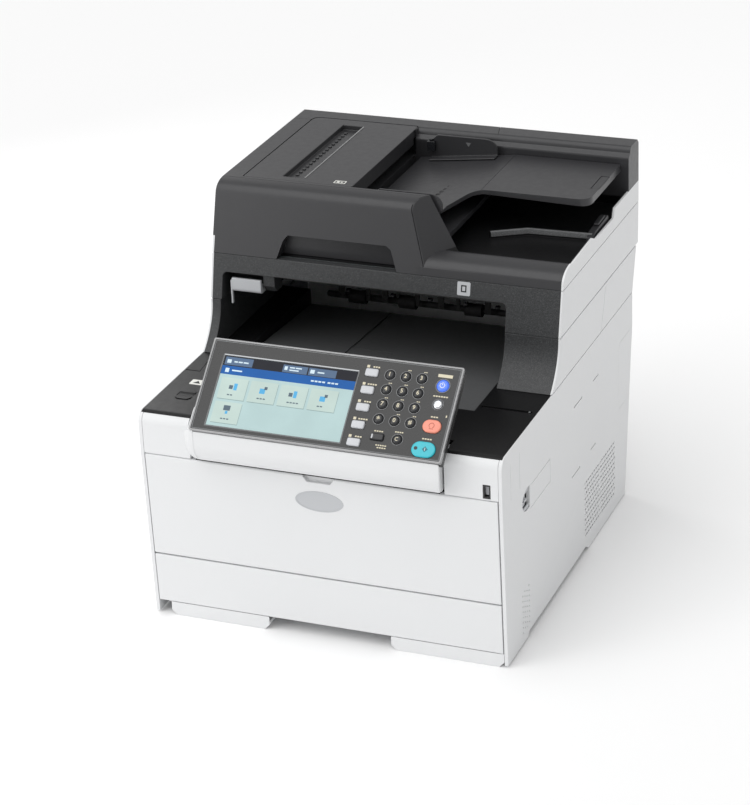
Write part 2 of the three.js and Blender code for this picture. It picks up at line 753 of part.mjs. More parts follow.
function scannerHousing() {
  const shape = outline([
    [ARM_TOP_Y, SCANNER_BOTTOM],
    [SCANNER_REAR_LOW, SCANNER_BOTTOM],
    [TOP_REAR, SCANNER_TOP],
    [SCANNER_TOP_Y, SCANNER_TOP],
  ]);
  const whole = sweepX(shape, -HALF, HALF);
  const lip = sweepY(roundedShape(BAY_LEFT, 300, BAY_RIGHT, LIP_Z, 6), 195, 240);
  const ceiling = block(BAY_LEFT, BAY_RIGHT, 239, STAND_FRONT - 2, 300, CEILING_Z);
  const well = block(GLASS_RECT.x0 + 7, GLASS_RECT.x1 - 7, 246, 449, CEILING_Z + 3, SCANNER_TOP + 1);
  const rebate = block(
    GLASS_RECT.x0 - GAP,
    GLASS_RECT.x1 + GAP,
    GLASS_RECT.y0 - GAP,
    GLASS_RECT.y1 + GAP,
    SCANNER_TOP - 3.8,
    SCANNER_TOP + 1,
  );
  const ends = [[-207, -202], [152, 207]].map(([x0, x1]) => (
    block(x0, x1, 224, SCANNER_REAR_LOW - 6, SCANNER_BOTTOM - 1, SCANNER_TOP - 8)
  ));
  return cut(whole, lip, ceiling, well, rebate, ...ends);
}

function platenGlass() {
  const g = GLASS_RECT;
  return block(g.x0, g.x1, g.y0, g.y1, SCANNER_TOP - 3.4, SCANNER_TOP - 0.2);
}

const LATCH = { x0: -189, x1: -152, y: 212, low: 320, high: 337, arm: 24 };

function scannerReleaseLever() {
  const { y, low, high, arm: reach } = LATCH;
  const shape = new THREE.Shape();
  shape.moveTo(y, high);
  shape.lineTo(y, low + 5);
  shape.quadraticCurveTo(y, low, y + 5, low);
  shape.lineTo(y + reach, low);
  shape.lineTo(y + reach, low + 4);
  shape.lineTo(y + 6, low + 4);
  shape.lineTo(y + 4, high);
  return sweepX(shape, LATCH.x0, LATCH.x1);
}

// ---------------------------------------------------------------- document feeder
const BLOCK_RIGHT = 62;
const POCKET_Z = 412;
const TROUGH_Z = 398;
const OUTPUT_Z = 374;
const REAR_BAR_Y = 468;
const BROW_Y = 480;
const CREASE_Y = 262;
const FEEDER_FOOT_Y = SCANNER_TOP_Y;
const SIDE_WALL = 3.5;

// The block's right end leans: it is widest low down and at the back.
function slantedEnd() {
  const across = new THREE.Vector3(1, -0.616, 0.505).normalize();
  const reach = 300;
  const geometry = new THREE.BoxGeometry(reach, reach, reach);
  geometry.applyQuaternion(new THREE.Quaternion().setFromUnitVectors(new THREE.Vector3(1, 0, 0), across));
  const middle = new THREE.Vector3(47.7, 217, 374.8).addScaledVector(across, reach / 2);
  geometry.translate(middle.x, middle.y, middle.z);
  return solid(geometry);
}

function feederBlock() {
  const shape = new THREE.Shape();
  shape.moveTo(FEEDER_FOOT_Y, ADF_BOTTOM);
  shape.lineTo(TOP_REAR, ADF_BOTTOM);
  shape.lineTo(TOP_REAR, HEIGHT - 5);
  shape.lineTo(TOP_REAR - 5, HEIGHT);
  shape.lineTo(CREASE_Y, HEIGHT);
  shape.quadraticCurveTo(240, HEIGHT, 236, 432);
  const whole = sweepX(shape, -HALF, BLOCK_RIGHT + 20);
  const front = block(-HALF, BLOCK_RIGHT + 20, 190, CREASE_Y + 1, 300, 500);
  const behind = block(-HALF, BLOCK_RIGHT, CREASE_Y + 1, TOP_REAR + 1, 300, 500);
  return whole.intersect(joined(cut(front, slantedEnd()), behind));
}

// The side wall beside the output shelf is notched for the sheet stopper.
function shelfWall() {
  const shape = outline([
    [238, OUTPUT_Z - 1],
    [238, 384],
    [325, 386.5],
    [338, 380.5],
    [407, 380.5],
    [413, 391],
    [REAR_BAR_Y + 6, 391],
    [REAR_BAR_Y + 6, OUTPUT_Z - 1],
  ]);
  return sweepX(shape, HALF - SIDE_WALL, HALF);
}

// A low arched rib lifts the far ends of the scanned sheets.
function shelfRib() {
  const plan = outline([[92, 322], [130, 344], [206, 347], [206, 353], [128, 350], [88, 327]]);
  return sweepZ(plan, OUTPUT_Z - 1, OUTPUT_Z + 8);
}

function outputShelf() {
  const shape = new THREE.Shape();
  shape.moveTo(FEEDER_FOOT_Y, ADF_BOTTOM);
  shape.lineTo(TOP_REAR, ADF_BOTTOM);
  shape.lineTo(TOP_REAR, HEIGHT - 5);
  shape.lineTo(TOP_REAR - 5, HEIGHT);
  shape.lineTo(REAR_BAR_Y, HEIGHT);
  shape.lineTo(REAR_BAR_Y, OUTPUT_Z);
  shape.lineTo(258, OUTPUT_Z);
  shape.quadraticCurveTo(254, 386, 244, 385.5);
  shape.quadraticCurveTo(224, 384, FEEDER_FOOT_Y + 2, 374);
  return joined(sweepX(shape, BLOCK_RIGHT - 22, HALF), shelfWall(), shelfRib());
}

// The rear bar's front edge is rounded over a narrow ledge.
function browCut() {
  const shape = new THREE.Shape();
  shape.moveTo(REAR_BAR_Y - 2, HEIGHT + 2);
  shape.lineTo(BROW_Y, HEIGHT + 2);
  shape.lineTo(BROW_Y, HEIGHT);
  shape.quadraticCurveTo(BROW_Y - 5, HEIGHT - 1.5, BROW_Y - 6, HEIGHT - 7);
  shape.lineTo(REAR_BAR_Y + 2.5, HEIGHT - 9.5);
  shape.quadraticCurveTo(REAR_BAR_Y, HEIGHT - 10.5, REAR_BAR_Y, HEIGHT - 14);
  shape.lineTo(REAR_BAR_Y - 2, HEIGHT - 14);
  return sweepX(shape, FEEDER_RIGHT + 1.5, HALF + 1);
}

function coverPlan(grow) {
  const left = FEEDER_LEFT - grow;
  const right = FEEDER_RIGHT + grow;
  const front = FEEDER_FRONT - grow;
  const rear = FEEDER_REAR + grow;
  const shape = new THREE.Shape();
  shape.moveTo(left + 3, front);
  shape.lineTo(right - 3, front);
  shape.quadraticCurveTo(right, front, right, front + 3);
  shape.lineTo(right, rear - 4);
  shape.quadraticCurveTo(right, rear, right - 4, rear);
  shape.lineTo(left + 12, rear);
  shape.quadraticCurveTo(left, rear, left, rear - 12);
  shape.lineTo(left, front + 3);
  shape.quadraticCurveTo(left, front, left + 3, front);
  return shape;
}

const HANDLE_DEPTH_Y = 236;
const PAD_RECT = { x0: -150, x1: 146, y0: 240, y1: 446, thick: 3 };

function adfBase() {
  const feederPocket = sweepZ(coverPlan(0.9), POCKET_Z, 460);
  const mouth = block(FEEDER_RIGHT - 10, FEEDER_RIGHT + 8, CREASE_Y + 1, REAR_BAR_Y, POCKET_Z, 460);
  const trough = block(FEEDER_RIGHT - 1, 90, CREASE_Y + 1, REAR_BAR_Y, TROUGH_Z, 460);
  const exit = block(40, BLOCK_RIGHT + 10, 266, 450, OUTPUT_Z, 392);
  const handle = sweepY(
    outline([
      [-133, 360],
      [-132, 366],
      [-125.5, 386],
      [-120, 392.5],
      [1, 392.5],
      [7, 388.5],
      [15.5, 366],
      [16, 360],
    ]),
    190,
    HANDLE_DEPTH_Y,
  );
  const padPocket = block(
    PAD_RECT.x0 - GAP,
    PAD_RECT.x1 + GAP,
    PAD_RECT.y0 - GAP,
    PAD_RECT.y1 + GAP,
    360,
    ADF_BOTTOM + PAD_RECT.thick,
  );
  const hollows = [feederPocket, mouth, trough, exit, handle, padPocket, browCut()];
  return cut(joined(feederBlock(), outputShelf()), ...hollows);
}

function platenPad() {
  const p = PAD_RECT;
  return block(p.x0, p.x1, p.y0, p.y1, ADF_BOTTOM - 0.2, ADF_BOTTOM + p.thick - GAP);
}

const COVER_TOP = HEIGHT - 0.1;

function feederCover() {
  const lid = sweepZ(coverPlan(0), 434, COVER_TOP);
  const lip = block(FEEDER_RIGHT - 8, FEEDER_RIGHT, FEEDER_FRONT + 6, REAR_BAR_Y - 4, 426, 436);
  const slot = block(-145, -118, 276, 462, COVER_TOP - 6, COVER_TOP + 1);
  return cut(joined(lid, lip), slot);
}

const trayTopAt = (x) => (x < 75 ? 411 + (x - INPUT_HINGE_X) * 14 / 121 : 425);
const INPUT_FRONT = 343;
const INPUT_REAR = REAR_BAR_Y - 1.5;
const INPUT_THICK = 5;

function inputTray() {
  const side = outline([
    [INPUT_HINGE_X, trayTopAt(INPUT_HINGE_X) - INPUT_THICK],
    [75, 420 - 0.2],
    [204, 416],
    [204, 425],
    [75, 425],
    [INPUT_HINGE_X, trayTopAt(INPUT_HINGE_X)],
  ]);
  const sheet = sweepY(side, 260, INPUT_REAR + 1);
  const plan = new THREE.Shape();
  plan.moveTo(INPUT_HINGE_X - 1, 266);
  plan.lineTo(45, 266);
  plan.lineTo(62, 326);
  plan.quadraticCurveTo(67, INPUT_FRONT, 84, INPUT_FRONT);
  plan.lineTo(188, INPUT_FRONT);
  plan.quadraticCurveTo(204, INPUT_FRONT, 204, 359);
  plan.lineTo(204, INPUT_REAR);
  plan.lineTo(INPUT_HINGE_X - 1, INPUT_REAR);
  const stopperSeat = block(194, 206, 380, 423, 424, 440);
  return cut(sheet.intersect(sweepZ(plan, 380, 450)), stopperSeat);
}

const GUIDE = { x0: -30, x1: 54, foot: 14, thick: 2.6, float: 0.5 };

// A paper guide is an upright fin on a foot that slides across the input tray.
function paperGuide(finY, footSign) {
  const low = (x) => trayTopAt(x) + GUIDE.float;
  const fin = new THREE.Shape();
  fin.moveTo(GUIDE.x0, low(GUIDE.x0));
  fin.lineTo(GUIDE.x1, low(GUIDE.x1));
  fin.lineTo(GUIDE.x1, 432);
  fin.quadraticCurveTo(GUIDE.x1 - 2, 443, 38, 443.5);
  fin.lineTo(GUIDE.x0 + 8, 443.5);
  fin.lineTo(GUIDE.x0, 436);
  const upright = sweepY(fin, finY, finY + GUIDE.thick);
  const foot = outline([
    [GUIDE.x0, low(GUIDE.x0)],
    [GUIDE.x1, low(GUIDE.x1)],
    [GUIDE.x1, low(GUIDE.x1) + 1.8],
    [GUIDE.x0, low(GUIDE.x0) + 1.8],
  ]);
  const y0 = footSign > 0 ? finY : finY + GUIDE.thick - GUIDE.foot;
  return joined(upright, sweepY(foot, y0, y0 + GUIDE.foot));
}

const PICKUP = { x: -95, z: 423, y0: 300, y1: 436 };

function pickupRoller() {
  const shaft = rodY(PICKUP.y0, PICKUP.y1, PICKUP.x, PICKUP.z, 3, 12);
  const tyre = rodY(345, 391, PICKUP.x, PICKUP.z, 9, 20);
  return joined(shaft, tyre);
}

// ---------------------------------------------------------------- the machine
function printerBody() {
  const group = new THREE.Group();
  group.add(
    part('base_frame', baseFrame(), WHITE),
    part('left_side_cover', sideCover(-1), WHITE),
    part('right_side_cover', rightSideCover(), WHITE),
    part('rear_cover', rearCover(), WHITE),
    part('rear_exit_cover', rearExitCover(), WHITE),
    part('power_inlet', powerInlet(), RUBBER),
    part('front_beam', frontBeam(), WHITE),
    part('usb_port', usbPort(), STEEL),
    part('deck', deck(), DECK_BLACK),
    part('tray_release_button', trayReleaseButton(), DECK_BLACK),
    part('door_release_lever', doorReleaseLever(), GREY),
    part('left_arm', arm(-HALF, -HALF + 13), SPECKLED),
    part('right_arm', arm(BAY_RIGHT, HALF), SPECKLED),
    part('rear_stand', rearStand(), WHITE),
    part('transfer_belt', transferBelt(), RUBBER),
    part('drum_basket', drumBasket(), KEY_DARK),
    part('fuser_unit', fuserUnit(), STEEL),
    part('exit_roller', exitRoller(), RUBBER),
  );
  return group;
}

function paperHandling() {
  const group = new THREE.Group();
  group.add(
    part('output_tray', outputTray(), DECK_BLACK),
    part('paper_stop_flap', paperStopFlap(), DECK_BLACK),
    part('front_door', frontDoor(), WHITE),
    part('cassette_front', cassetteFront(), WHITE),
    part('cassette', cassette(), GREY),
    part('lift_plate', liftPlate(), STEEL),
  );
  return group;
}

function scannerUnit() {
  const group = new THREE.Group();
  group.add(
    part('scanner_housing', scannerHousing(), SPECKLED),
    part('platen_glass', platenGlass(), GLASS),
    part('scanner_release_lever', scannerReleaseLever(), GREY),
  );
  return group;
}

function documentFeeder() {
  const group = new THREE.Group();
  group.add(
    part('adf_base', adfBase(), BLACK),
    part('platen_pad', platenPad(), PAD),
    part('feeder_cover', feederCover(), BLACK),
    part('input_tray', inputTray(), BLACK),
    part('guide_front', paperGuide(267.5, 1), BLACK),
    part('guide_rear', paperGuide(INPUT_REAR - 7.5, -1), BLACK),
    part('pickup_roller', pickupRoller(), RUBBER),
  );
  return group;
}

const photocopier = new THREE.Group();
photocopier.name = 'photocopier';
photocopier.add(printerBody(), paperHandling(), operatorPanel(), scannerUnit(), documentFeeder());
photocopier.add(part('panel_belly', panelBelly(), WHITE));
photocopier.position.y = -(PANEL_EDGE_Y + TOP_REAR) / 2;

export default photocopier;
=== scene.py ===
import json
import math

import bmesh
import bpy
from mathutils import Matrix, Vector


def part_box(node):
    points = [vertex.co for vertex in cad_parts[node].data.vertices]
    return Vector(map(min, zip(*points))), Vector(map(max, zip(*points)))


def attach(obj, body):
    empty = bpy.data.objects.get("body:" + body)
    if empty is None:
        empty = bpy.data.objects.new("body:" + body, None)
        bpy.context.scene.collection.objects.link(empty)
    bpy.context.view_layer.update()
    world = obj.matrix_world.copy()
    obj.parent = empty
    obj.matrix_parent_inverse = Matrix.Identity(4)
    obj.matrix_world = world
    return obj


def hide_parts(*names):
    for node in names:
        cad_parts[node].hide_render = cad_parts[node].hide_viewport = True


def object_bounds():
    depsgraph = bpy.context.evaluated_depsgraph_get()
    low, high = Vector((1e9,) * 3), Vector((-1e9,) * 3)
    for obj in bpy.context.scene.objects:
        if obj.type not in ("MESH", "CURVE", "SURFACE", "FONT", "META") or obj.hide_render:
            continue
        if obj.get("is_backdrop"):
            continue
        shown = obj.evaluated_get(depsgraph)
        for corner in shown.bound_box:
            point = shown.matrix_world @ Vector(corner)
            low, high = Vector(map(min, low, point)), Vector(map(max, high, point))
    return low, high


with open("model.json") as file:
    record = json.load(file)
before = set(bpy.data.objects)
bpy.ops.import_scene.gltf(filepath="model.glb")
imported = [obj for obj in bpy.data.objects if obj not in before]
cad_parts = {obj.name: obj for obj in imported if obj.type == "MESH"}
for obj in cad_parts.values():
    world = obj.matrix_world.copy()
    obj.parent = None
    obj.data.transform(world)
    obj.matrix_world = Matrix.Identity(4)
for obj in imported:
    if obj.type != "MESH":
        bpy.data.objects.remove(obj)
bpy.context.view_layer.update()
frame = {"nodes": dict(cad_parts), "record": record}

BODY_OF = {node: body for body, nodes in frame["record"]["behaviour"]["bodies"].items() for node in nodes}
SLOT_OF = {row["node"]: row["material_slot"] for row in frame["record"]["subparts"]}
MM = 0.001

# The design's own measure is mm, with y = 0 at the door's upper edge.
FRONT_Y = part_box("front_door")[0].y
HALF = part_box("right_side_cover")[1].x / MM
TO_FRAME = Matrix.Translation((0, FRONT_Y, 0)) @ Matrix.Scale(MM, 4)

# The operator panel's own measure: x across, y up its face, z out of the face.
PANEL_TILT = math.radians(42.5)
PANEL_EDGE = (0, -26.2, 258)
PANEL = Matrix.Translation(PANEL_EDGE) @ Matrix.Rotation(PANEL_TILT, 4, "X")


def at(x, y, z):
    """A point of the design, as metres in the shared frame."""
    return TO_FRAME @ Vector((x, y, z))


def placed(name, data):
    """A new object, linked into the scene."""
    obj = bpy.data.objects.new(name, data)
    bpy.context.scene.collection.objects.link(obj)
    return obj


def evaluated(obj):
    """The object's mesh, with its modifiers applied."""
    view = bpy.context.evaluated_depsgraph_get()
    return bpy.data.meshes.new_from_object(obj.evaluated_get(view))


# ---------------------------------------------------------------- camera, light, floor
CAMERA_AT = (1087.8, -2458.3, 1533.8)
CAMERA_AZIMUTH = 22.45
CAMERA_ELEVATION = 24.77
CAMERA_ROLL = -2.45
CAMERA_LENS = 122.8


def make_camera():
    azimuth = math.radians(CAMERA_AZIMUTH)
    elevation = math.radians(CAMERA_ELEVATION)
    roll = math.radians(CAMERA_ROLL)
    forward = Vector((
        -math.sin(azimuth) * math.cos(elevation),
        math.cos(azimuth) * math.cos(elevation),
        -math.sin(elevation),
    ))
    level = forward.cross(Vector((0, 0, 1))).normalized()
    upright = level.cross(forward)
    right = math.cos(roll) * level + math.sin(roll) * upright
    up = -math.sin(roll) * level + math.cos(roll) * upright
    data = bpy.data.cameras.new("camera")
    data.sensor_width = 36
    data.lens = CAMERA_LENS
    data.clip_end = 50
    camera = placed("camera", data)
    turned = Matrix((right, up, -forward)).transposed().to_4x4()
    camera.matrix_world = Matrix.Translation(at(*CAMERA_AT)) @ turned
    bpy.context.scene.camera = camera


def make_light(name, place, target, size, power):
    data = bpy.data.lights.new(name, "AREA")
    data.shape = "DISK"
    data.size = size
    data.energy = power
    light = placed(name, data)
    light.location = place
    light.rotation_mode = "QUATERNION"
    light.rotation_quaternion = (Vector(target) - Vector(place)).to_track_quat("-Z", "Y")


def make_sun(come_from, spread, strength):
    """A broad overhead softbox, far enough away to light the floor evenly."""
    data = bpy.data.lights.new("top_light", "SUN")
    data.angle = math.radians(spread)
    data.energy = strength
    light = placed("top_light", data)
    light.rotation_mode = "QUATERNION"
    light.rotation_quaternion = Vector(come_from).to_track_quat("Z", "Y")


def make_world(strength):
    world = bpy.data.worlds.new("studio")
    bpy.context.scene.world = world
    world.use_nodes = True
    background = world.node_tree.nodes["Background"]
    background.inputs["Color"].default_value = (1, 1, 1, 1)
    background.inputs["Strength"].default_value = strength


def make_floor(reach):
    mesh = bpy.data.meshes.new("floor")
    corners = [(-reach, -reach, 0), (reach, -reach, 0), (reach, reach, 0), (-reach, reach, 0)]
    mesh.from_pydata(corners, [], [(0, 1, 2, 3)])
    floor = placed("floor", mesh)
    floor.location.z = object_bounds()[0].z - 0.0002
    look = bpy.data.materials.new("floor_pale")
    look.use_nodes = True
    shader = look.node_tree.nodes["Principled BSDF"]
    shader.inputs["Base Color"].default_value = (0.95, 0.95, 0.95, 1)
    shader.inputs["Roughness"].default_value = 0.9
    mesh.materials.append(look)
    floor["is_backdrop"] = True


def make_studio():
    scene = bpy.context.scene
    scene.view_settings.view_transform = "Standard"
    scene.view_settings.look = "None"
    make_world(strength=0.6)
    make_floor(reach=12)
    make_sun(come_from=(-0.5, -0.75, 1.9), spread=62, strength=1.4)
    make_light("key_light", (-1.4, -1.6, 0.95), (0, 0, 0.2), size=1.2, power=7.5)
    make_light("sheen_light", (-1.05, 0.8, 0.85), (-0.1, 0, 0.3), size=0.7, power=3)


# ---------------------------------------------------------------- materials
def linear(*rgb):
    """An sRGB colour of 0 to 255, as linear light."""
    unit = [channel / 255 for channel in rgb]
    return tuple(u / 12.92 if u <= 0.04045 else ((u + 0.055) / 1.055) ** 2.4 for u in unit)


WORN_RADIUS = 0.0009


class Look:
    """Builds one material's nodes around its shader."""

    def __init__(self, name):
        self.material = bpy.data.materials.new(name)
        self.material.use_nodes = True
        self.nodes = self.material.node_tree.nodes
        self.links = self.material.node_tree.links
        self.shader = self.nodes["Principled BSDF"]
        self.place = self.nodes.new("ShaderNodeTexCoord").outputs["Object"]

    def put(self, target, value):
        if isinstance(value, bpy.types.NodeSocket):
            self.links.new(value, target)
        else:
            target.default_value = value

    def node(self, kind, **inputs):
        node = self.nodes.new(kind)
        for key, value in inputs.items():
            self.put(node.inputs[key.replace("_", " ")], value)
        return node

    def noise(self, scale, detail=2, stretch=(1, 1, 1), rough=0.5):
        mapping = self.node("ShaderNodeMapping", Vector=self.place, Scale=stretch)
        found = self.node("ShaderNodeTexNoise", Vector=mapping.outputs[0], Scale=scale, Detail=detail)
        found.inputs["Roughness"].default_value = rough
        return found.outputs["Fac"]

    def cells(self, scale):
        return self.node("ShaderNodeTexVoronoi", Vector=self.place, Scale=scale).outputs["Distance"]

    def between(self, value, low, high, to_low=0.0, to_high=1.0):
        node = self.node("ShaderNodeMapRange", Value=value)
        node.inputs["From Min"].default_value = low
        node.inputs["From Max"].default_value = high
        node.inputs["To Min"].default_value = to_low
        node.inputs["To Max"].default_value = to_high
        return node.outputs["Result"]

    def math(self, operation, a, b):
        node = self.nodes.new("ShaderNodeMath")
        node.operation = operation
        self.put(node.inputs[0], a)
        self.put(node.inputs[1], b)
        return node.outputs[0]

    def mix(self, share, a, b):
        node = self.nodes.new("ShaderNodeMix")
        node.data_type = "RGBA"
        self.put(node.inputs["Factor"], share)
        for socket, value in ((node.inputs[6], a), (node.inputs[7], b)):
            self.put(socket, value if isinstance(value, bpy.types.NodeSocket) else (*value, 1))
        return node.outputs[2]

    def edges(self):
        """1 along worn edges and corners, 0 on flat faces."""
        bevel = self.nodes.new("ShaderNodeBevel")
        bevel.samples = 4
        bevel.inputs["Radius"].default_value = WORN_RADIUS
        flat = self.nodes.new("ShaderNodeNewGeometry").outputs["Normal"]
        dot = self.nodes.new("ShaderNodeVectorMath")
        dot.operation = "DOT_PRODUCT"
        self.links.new(bevel.outputs[0], dot.inputs[0])
        self.links.new(flat, dot.inputs[1])
        bent = self.between(dot.outputs["Value"], 0.985, 0.86)
        return self.math("MULTIPLY", bent, self.between(self.noise(90, 3), 0.35, 0.65))

    def bump(self, height, distance):
        node = self.node("ShaderNodeBump", Height=height, Distance=distance, Strength=1.0)
        self.links.new(node.outputs[0], self.shader.inputs["Normal"])

    def finish(self, color, rough):
        self.put(self.shader.inputs["Base Color"], color)
        self.put(self.shader.inputs["Roughness"], rough)
        return self.material


def scaled(color, by):
    return tuple(min(1.0, channel * by) for channel in color)


def plastic(name, color, rough, grain=0.00003, tone=0.025, wear=0.35, speckle=0.0, light=1.5, shine=0.5):
    """Moulded plastic: a fine eroded grain, slow colour drift, rubbed edges, and speckle if asked."""
    look = Look(name)
    look.shader.inputs["Specular IOR Level"].default_value = shine
    drift = look.between(look.noise(3, 2), 0.3, 0.7)
    tint = look.mix(drift, scaled(color, 1 - tone), scaled(color, 1 + tone))
    fine = look.noise(1500, 2, rough=0.6)
    if speckle:
        flecks = look.between(look.noise(1150, 1, rough=0.4), 0.53, 0.66, 0, speckle)
        tint = look.mix(flecks, tint, scaled(color, 3.2))
        pits = look.between(look.noise(900, 1, rough=0.4), 0.47, 0.36, 0, speckle)
        tint = look.mix(pits, tint, scaled(color, 0.35))
    if wear:
        tint = look.mix(look.math("MULTIPLY", look.edges(), wear), tint, scaled(color, light))
    gloss = look.between(look.noise(140, 3), 0.3, 0.7, rough - 0.03, rough + 0.04)
    look.bump(fine, grain)
    return look.finish(tint, gloss)


def metal(name, color, rough):
    """Sheet steel: a rolled grain along X and cloudy roughness."""
    look = Look(name)
    look.shader.inputs["Metallic"].default_value = 1.0
    grain = look.noise(1800, 3, stretch=(0.05, 1, 1))
    cloud = look.between(look.noise(18, 4), 0.3, 0.7)
    tint = look.mix(cloud, scaled(color, 0.86), scaled(color, 1.1))
    look.bump(grain, 0.00002)
    return look.finish(tint, look.between(grain, 0.3, 0.7, rough - 0.08, rough + 0.12))


def rubber(name, color):
    look = Look(name)
    dust = look.between(look.noise(60, 5), 0.48, 0.75, 0, 0.35)
    tint = look.mix(dust, color, scaled(color, 2.2))
    look.bump(look.noise(900, 3), 0.00006)
    return look.finish(tint, look.between(look.noise(200, 2), 0.3, 0.7, 0.67, 0.85))


def glossy(name, color, rough, glow=0.0, coat=0.5):
    """Lacquered or clear-coated plastic, with faint smears in the gloss."""
    look = Look(name)
    look.shader.inputs["Specular IOR Level"].default_value = 0.5 if coat else 0.2
    look.shader.inputs["Coat Weight"].default_value = coat
    look.shader.inputs["Coat Roughness"].default_value = 0.06
    if glow:
        look.shader.inputs["Emission Color"].default_value = (*color, 1)
        look.shader.inputs["Emission Strength"].default_value = glow
    tint = look.mix(look.between(look.noise(22, 3), 0.3, 0.7), scaled(color, 0.94), scaled(color, 1.05))
    look.bump(look.noise(500, 2), 0.000006)
    return look.finish(tint, look.between(look.noise(80, 4), 0.35, 0.7, rough, rough + 0.08))


def glass(name, color):
    """The scanner's glass, seen over its dark well."""
    look = Look(name)
    look.shader.inputs["Coat Weight"].default_value = 1.0
    look.shader.inputs["Coat Roughness"].default_value = 0.02
    dust = look.between(look.noise(420, 4), 0.62, 0.8, 0, 0.12)
    tint = look.mix(dust, color, (0.6, 0.62, 0.62))
    look.bump(look.noise(30, 2), 0.000004)
    return look.finish(tint, look.between(look.noise(50, 3), 0.35, 0.7, 0.03, 0.09))


def foam(name, color):
    look = Look(name)
    cells = look.cells(700)
    tint = look.mix(look.between(cells, 0, 0.7), scaled(color, 0.93), color)
    look.bump(cells, 0.0001)
    return look.finish(tint, look.between(look.noise(90, 3), 0.3, 0.7, 0.78, 0.95))


WHITE = linear(224, 225, 226)
FEEDER = linear(51, 51, 53)
DECK = linear(22, 22, 23)
# The panel face's grey is raised partly as painted reflection: the glossy black face looks lighter with the
# room mirrored in it.
PANEL_FACE = linear(50, 50, 50)
LOOKS = {
    "white_shell": plastic("white_plastic", WHITE, 0.42, grain=0.000018, tone=0.012, wear=0.25, light=1.08),
    "speckled_grey": plastic("speckled_plastic", linear(54, 55, 56), 0.4, 0.00005, speckle=0.45, shine=0.36),
    "feeder_black": plastic("feeder_plastic", FEEDER, 0.33, 0.00003, wear=0.3, light=1.9, shine=0.42),
    "deck_black": plastic("deck_plastic", DECK, 0.34, 0.00004, wear=0.3, light=2.2, shine=0.26),
    "panel_black": plastic("panel_plastic", PANEL_FACE, 0.28, 0.000008, wear=0.2, light=2.0, shine=0.4),
    "screen": glossy("screen_field", linear(172, 196, 196), 0.3, glow=0.05, coat=0.0),
    "key_dark": plastic("key_plastic", linear(30, 31, 34), 0.26, grain=0.00001, light=2.4),
    "key_grey": plastic("key_silver", linear(196, 198, 202), 0.3, grain=0.00001, tone=0.04, light=1.25),
    "key_blue": glossy("key_blue_lit", linear(70, 112, 226), 0.16, glow=0.35),
    "key_salmon": plastic("key_coral", linear(238, 148, 126), 0.32, grain=0.00001, tone=0.03, light=1.2),
    "key_cyan": plastic("key_teal", linear(56, 186, 200), 0.3, grain=0.00001, tone=0.03, light=1.25),
    "light_grey": plastic("grey_plastic", linear(188, 190, 193), 0.4, tone=0.03, light=1.15),
    "steel": metal("rolled_steel", linear(168, 171, 174), 0.34),
    "rubber": rubber("black_rubber", linear(30, 30, 31)),
    "drum_black": plastic("drum_plastic", linear(38, 39, 42), 0.36, light=2.0),
    "platen_glass": glass("scan_glass", linear(70, 84, 84)),
    "pad_white": foam("pad_foam", linear(238, 238, 232)),
}
SILVER = glossy("rim_silver", linear(142, 142, 143), 0.16, coat=0.9)
RIB_LOOK = plastic("rib_plastic", linear(104, 105, 106), 0.5, 0.00009, speckle=0.3, shine=0.35)
# The output tray's grey is lighter than the deck's, partly as painted light for the light that reaches into
# the dark bay.
TRAY_LOOK = plastic("tray_plastic", linear(88, 89, 90), 0.4, 0.00004, wear=0.3, light=1.8, shine=0.34)
COLLAR = glossy("collar_smoke", linear(104, 105, 107), 0.2, coat=0.8)
CREAM = plastic("print_cream", linear(214, 206, 180), 0.5, tone=0.04, wear=0)
RIM_DARK = glossy("rim_smoke", linear(70, 72, 74), 0.18, coat=0.8)
CHROME = metal("bright_metal", linear(214, 216, 219), 0.18)
SALMON_MARK = plastic("key_coral_mark", linear(176, 84, 66), 0.4, wear=0)
TEAL_MARK = plastic("key_teal_mark", linear(18, 110, 124), 0.4, wear=0)


# ---------------------------------------------------------------- shapes
def rounded(a0, b0, a1, b1, r, steps=5):
    """The corners of a rectangle with round corners, anticlockwise."""
    centres = [(a1 - r, b0 + r, -90), (a1 - r, b1 - r, 0), (a0 + r, b1 - r, 90), (a0 + r, b0 + r, 180)]
    points = []
    for a, b, start in centres:
        for step in range(steps + 1):
            angle = math.radians(start + 90 * step / steps)
            points.append((a + r * math.cos(angle), b + r * math.sin(angle)))
    return points


def circle(a, b, r, sides=16, squash=1.0):
    turns = [2 * math.pi * step / sides for step in range(sides)]
    return [(a + r * math.cos(turn), b + r * squash * math.sin(turn)) for turn in turns]


def swept(axis, a, b, c):
    """The design point of outline point (a, b) at c along the axis."""
    return {"X": (c, a, b), "Y": (a, c, b), "Z": (a, b, c)}[axis]


def join_rings(bm, one, two):
    """The band of faces between two rings with as many points."""
    count = len(one)
    for i in range(count):
        j = (i + 1) % count
        bm.faces.new((one[i], one[j], two[j], two[i]))


def add_prism(bm, outline, low, high, axis="Z"):
    rings = [[bm.verts.new(swept(axis, a, b, c)) for a, b in outline] for c in (low, high)]
    bm.faces.new(rings[0])
    bm.faces.new(rings[1])
    join_rings(bm, *rings)


def add_box(bm, x0, x1, y0, y1, z0, z1):
    add_prism(bm, [(x0, y0), (x1, y0), (x1, y1), (x0, y1)], z0, z1)


def add_frame(bm, outer, inner, low, high):
    """A flat ring between two outlines with as many points."""
    corners = ((outer, low), (outer, high), (inner, high), (inner, low))
    rings = [[bm.verts.new((a, b, c)) for a, b in line] for line, c in corners]
    for one, two in zip(rings, rings[1:] + rings[:1]):
        join_rings(bm, one, two)


